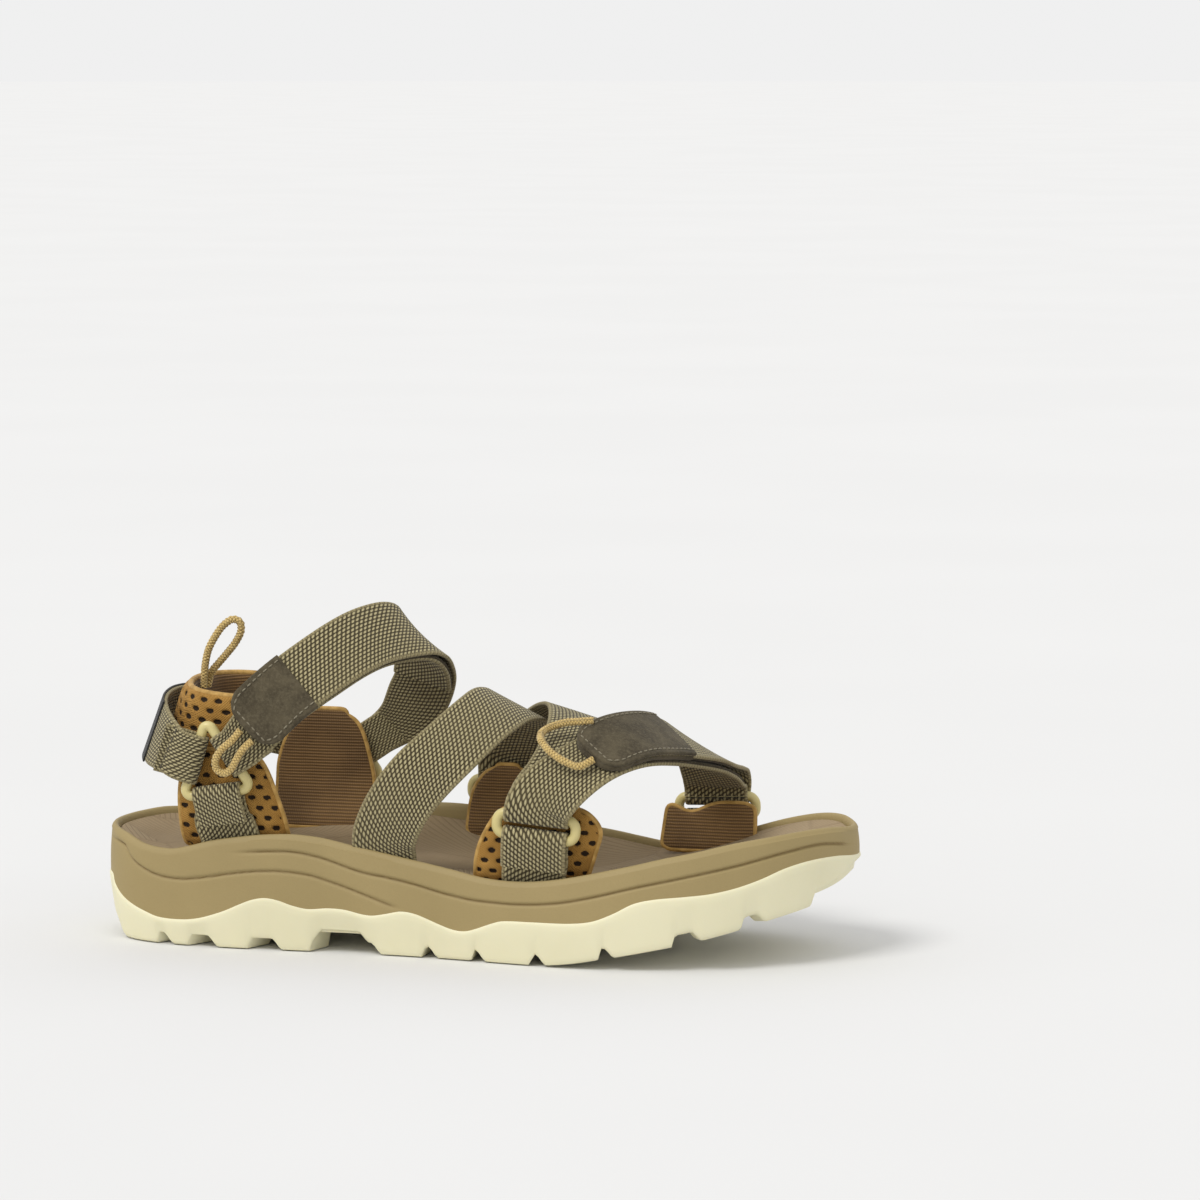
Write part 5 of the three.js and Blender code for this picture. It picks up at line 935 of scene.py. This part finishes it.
# anchors
for nm, key, wd, pn in (("lateral_heel_anchor", "LHA", 24, 0.8), ("medial_heel_anchor", "MHA", 23, 0.72), ("lateral_forefoot_anchor", "LFA", 25, 1), ("medial_midfoot_anchor", "MMA", 24, 1), ("medial_front_anchor", "MFA", 25, 1)):
    place(strap(nm + "_webbing", key, [WEB], width=wd, ends=pinch_start(9.8, 11.4, pn), step=0.6, wob=0.1), "sandal", "webbing", nm)
items = []
for key, a in (("LHA", 11.1), ("LHA", 12.1), ("LFA", 11.2), ("LFA", 12.0), ("MHA", 11.2), ("MMA", 11.3), ("MFA", 11.3)):
    items += ribbon_stitches(key, [("x", a, -9.8, 9.8)], WEB_T + 0.1)
for key, a in (("heel", 10.7), ("heel", nH - 10.7), ("under", 10.5), ("ankle", nA - 10.7)):
    items += ribbon_stitches(key, [("x", a, -7.6, 7.6)], WEB_T + 0.15)
stitch_mesh("webbing_stitches", items, TH_DARK, 2.4, 0.34)


# ---------------------------------------------------------------- rings
def rounded(corners, rc):
    P = np.array(corners, float)
    n = len(P)
    out = []
    for i in range(n):
        a, b, c = P[i - 1], P[i], P[(i + 1) % n]
        d0, d1 = unit(a - b), unit(c - b)
        half = math.acos(max(-1, min(1, float((d0 * d1).sum())))) / 2
        R = rc * math.tan(half)
        o = b + unit(d0 + d1) * rc / math.cos(half)
        s0, s1 = b + d0 * rc - o, b + d1 * rc - o
        for k in range(9):
            out.append(o + unit(s0 + (s1 - s0) * (k / 8)) * R)
        nxt = P[(i + 1) % n]
        e0 = b + d1 * rc
        e1 = nxt - d1 * rc
        for k in (0.25, 0.5, 0.75):
            out.append(e0 + (e1 - e0) * k)
    return out


for nm, cs, rc in (("lateral_heel_ring", LH, 4.0), ("medial_heel_ring", MH, 4.0), ("lateral_forefoot_ring", LF, 3.4), ("medial_midfoot_ring", MM, 3.4), ("medial_front_ring", MF, 3.4)):
    v, f, uv = tube(rounded(cs, rc), 1.95, 18, 0.5, closed=True)
    place(new_mesh(nm + "_moulded", v, f, [RING], uv=uv), "sandal", "ring", nm)


# ---------------------------------------------------------------- padded seats
def hole_field(x, z, sx=6.0, sz=3.9, ex=1.62, ez=1.02):
    r = np.floor(z / sz + 0.5)
    best = np.full(np.shape(x), 9.0)
    for dr in (-1, 0, 1):
        rr = r + dr
        xo = x - (np.mod(rr, 2) * sx / 2)
        k = np.floor(xo / sx + 0.5)
        dx = (xo - k * sx) / ex
        dz = (z - rr * sz) / ez
        best = np.minimum(best, np.sqrt(dx * dx + dz * dz))
    return 1 - smooth(0.78, 1.12, best)


def shell_pad(name, node, P0, Nrm, T, mats, holes=None, crown=0.5, pipe=True, pipe_r=1.05, bx=6, bz=6):
    """P0 (na, nc, 3) mid surface, Nrm outward normals, T thickness: closed crowned pad"""
    na, nc = P0.shape[:2]
    a = np.linspace(-1, 1, na)[:, None]
    c = np.linspace(-1, 1, nc)[None, :]
    pinch = np.sqrt(np.maximum(0.0, (1 - np.abs(a) ** bx) * (1 - np.abs(c) ** bz)))
    pinch = 0.32 + 0.68 * pinch
    cr = crown * np.sqrt(np.maximum(0, (1 - a**4) * (1 - c**4)))
    hole = np.zeros((na, nc)) if holes is None else holes * (pinch > 0.62)
    outer = P0 + Nrm * ((T / 2 * pinch + cr - 0.85 * hole))[..., None]
    inner = P0 - Nrm * ((T / 2 * pinch + 0.4 * cr))[..., None]
    v = np.concatenate([outer.reshape(-1, 3), inner.reshape(-1, 3)])
    f0 = grid_faces(na, nc)
    f1 = grid_faces(na, nc, base=na * nc, flip=True)
    rim = [(i, 0) for i in range(na)] + [(na - 1, j) for j in range(1, nc)] + [(i, nc - 1) for i in range(na - 2, -1, -1)] + [(0, j) for j in range(nc - 2, 0, -1)]
    ri = [i * nc + j for i, j in rim]
    fs = [[ri[(k + 1) % len(ri)], ri[k], ri[k] + na * nc, ri[(k + 1) % len(ri)] + na * nc] for k in range(len(ri))]
    faces = f0.tolist() + f1.tolist() + fs
    fm = [0] * len(f0) + [1] * len(f1) + [2] * len(fs)
    faces = orient(faces, v)
    at = np.concatenate([hole.reshape(-1), np.zeros(na * nc)])
    ob = new_mesh(name, v, faces, mats, attr={"hole": at}, face_mat=fm, sharp=70)
    place(ob, "sandal", "padding", node)
    if pipe:
        path = [P0[i, j] for i, j in rim][:: max(1, int(2.0 / 0.6))]
        v, f, uv = tube(path, pipe_r, 10, 0.8, closed=True)
        place(new_mesh(name + "_piping", v, f, [PIPE], uv=uv), "sandal", "padding")
    return ob


def flat_pad(name, xr, xf, y, z0, z1, out, t=3.6, **kw):
    XR, XF, Y = table(xr), table(xf), table(y)
    Z1 = z1 if callable(z1) else (lambda x: np.full(np.shape(x), float(z1)))
    Z0 = z0 if callable(z0) else (lambda x: np.full(np.shape(x), float(z0)))
    na, nc = 84, 64
    a = np.linspace(0, 1, na)[:, None] * np.ones((1, nc))
    c = np.linspace(0, 1, nc)[None, :] * np.ones((na, 1))
    zb = np.atleast_1d(Z0(np.array([0.0])))[0] * (1 - c) + np.atleast_1d(Z1(np.array([0.0])))[0] * c
    xm = XR(zb) * (1 - a) + XF(zb) * a
    z = Z0(xm) * (1 - c) + Z1(xm) * c
    x = XR(z) * (1 - a) + XF(z) * a
    # soften the corners
    k = np.abs(2 * a - 1) ** 7 * np.abs(2 * c - 1) ** 7
    xc, zc = x.mean(), z.mean()
    x, z = x + (xc - x) * 0.10 * k, z + (zc - z) * 0.12 * k
    yy = Y(z)
    dyz = (Y(z + 0.5) - Y(z - 0.5))
    P0 = np.stack([x, yy + out * t / 2, z], -1)
    N = unit(np.stack([np.zeros_like(x), np.full_like(x, out), -out * dyz], -1))
    return shell_pad(name + "_cushion", name, P0, N, np.full((na, nc), t), [PERF, KNIT, PIPE], holes=hole_field(x, z), **kw)


flat_pad("lateral_heel_pad", [[38, -110], [60, -110], [76, -107.5]], [[38, -67.5], [50, -69], [65, -74], [76, -79]], [[38, -25.0], [46, -28.4], [54, -30.2], [60, -30.7], [76, -30.6]], 36.0, 76, -1)
flat_pad("medial_ankle_pad", [[38, -88.5], [60, -89], [70, -86.5], [78, -82.0], [84, -76]], [[38, -49.5], [55, -50], [70, -53.2], [78, -56], [84, -60]], [[38, 19.0], [46, 24.6], [54, 27.6], [60, 28.4], [84, 28.2]], 38.0, 84, 1)
flat_pad("medial_mid_pad", [[34, -12], [52, -10], [60, -5.5], [64, -1]], [[34, 17], [52, 16], [60, 13], [64, 9]], [[34, 23.6], [44, 27.2], [52, 28.5], [64, 28.5]], 36.0, 64, 1)
flat_pad("lateral_forefoot_pad", [[30, 7], [44, 10], [56, 16.5], [61, 21]], [[30, 50], [44, 55], [52, 56.5], [61, 50]], [[30, -33.6], [38, -36.6], [48, -38.2], [61, -38.6]], 27.0, 61, -1)
flat_pad("medial_front_pad", [[30, 64], [50, 65.5]], [[30, 101], [50, 100]], [[30, 33.8], [40, 38.2], [46, 40.4], [50, 41.0]], 32.0, lambda x: 50 - 4.0 * np.exp(-(((x - 75) / 7) ** 2)), 1, t=3.2)


def collar():
    fr = ribbon_frame(D["collar"], SIGN["collar"])
    na, nc = 210, 44
    ts, s = along(fr, 0, 1, 200)
    ts = np.linspace(0, 1, 3000)
    c = fr(ts)[0]
    q = np.concatenate([[0], np.cumsum(np.linalg.norm(np.diff(c, axis=0), axis=1))])
    sq = np.linspace(0, q[-1], na)
    ts = np.interp(sq, q, ts)
    c, tan, w, n = fr(ts)
    wd = 10.3 * (0.80 + 0.20 * np.sqrt(np.maximum(0, 1 - np.abs(2 * np.arange(na) / (na - 1) - 1) ** 6)))
    v = np.linspace(-1, 1, nc)
    lat = wd[:, None] * v[None, :]
    P0 = c[:, None, :] + w[:, None, :] * lat[..., None] + n[:, None, :] * 2.0
    N = np.repeat(n[:, None, :], nc, 1)
    S = np.repeat(sq[:, None], nc, 1)
    shell_pad("heel_collar_cushion", "heel_collar", P0, N, np.full((na, nc), 4.4), [PERF, KNIT, PIPE], holes=hole_field(S, lat), crown=0.7, pipe_r=1.2, bx=14, bz=4)


collar()

# ---------------------------------------------------------------- stage
def light(name, loc, target, size, power, color=(1, 1, 1), size_y=None):
    d = bpy.data.lights.new(name, "AREA")
    d.energy = power
    d.size = size
    if size_y:
        d.shape = "RECTANGLE"
        d.size_y = size_y
    d.color = color
    o = bpy.data.objects.new(name, d)
    bpy.context.scene.collection.objects.link(o)
    o.location = loc
    o.rotation_euler = (Vector(target) - Vector(loc)).to_track_quat("-Z", "Y").to_euler()
    return o


def sun(name, rot, power, angle, color=(1, 1, 1)):
    d = bpy.data.lights.new(name, "SUN")
    d.energy = power
    d.angle = math.radians(angle)
    d.color = color
    o = bpy.data.objects.new(name, d)
    o.rotation_euler = [math.radians(a) for a in rot]
    bpy.context.scene.collection.objects.link(o)


sun("key", (38, 0, -34), 1.45, 24, (1, 0.985, 0.955))

fl = bpy.data.meshes.new("floor")
R = 30.0
nseg = 48
ring = [(R * math.cos(k * 2 * math.pi / nseg), R * math.sin(k * 2 * math.pi / nseg), -0.0004) for k in range(nseg)]
fl.from_pydata(ring, [], [list(range(nseg))])
floor = bpy.data.objects.new("floor", fl)
bpy.context.scene.collection.objects.link(floor)
fm = Mat("floor_paint", rough=1.0, spec=0.0)
fm.color(fm.mix(fm.range(fm.noise(3.0, 2), 0.3, 0.7), (0.715, 0.715, 0.715), (0.725, 0.725, 0.725)))
fl.materials.append(fm.m)

world = bpy.data.worlds.new("studio")
bpy.context.scene.world = world
world.use_nodes = True
bg = world.node_tree.nodes["Background"]
bg.inputs[0].default_value = (1.0, 1.0, 1.0, 1)
bg.inputs[1].default_value = 0.87
bpy.context.scene.view_settings.view_transform = "Standard"

bpy.context.view_layer.update()
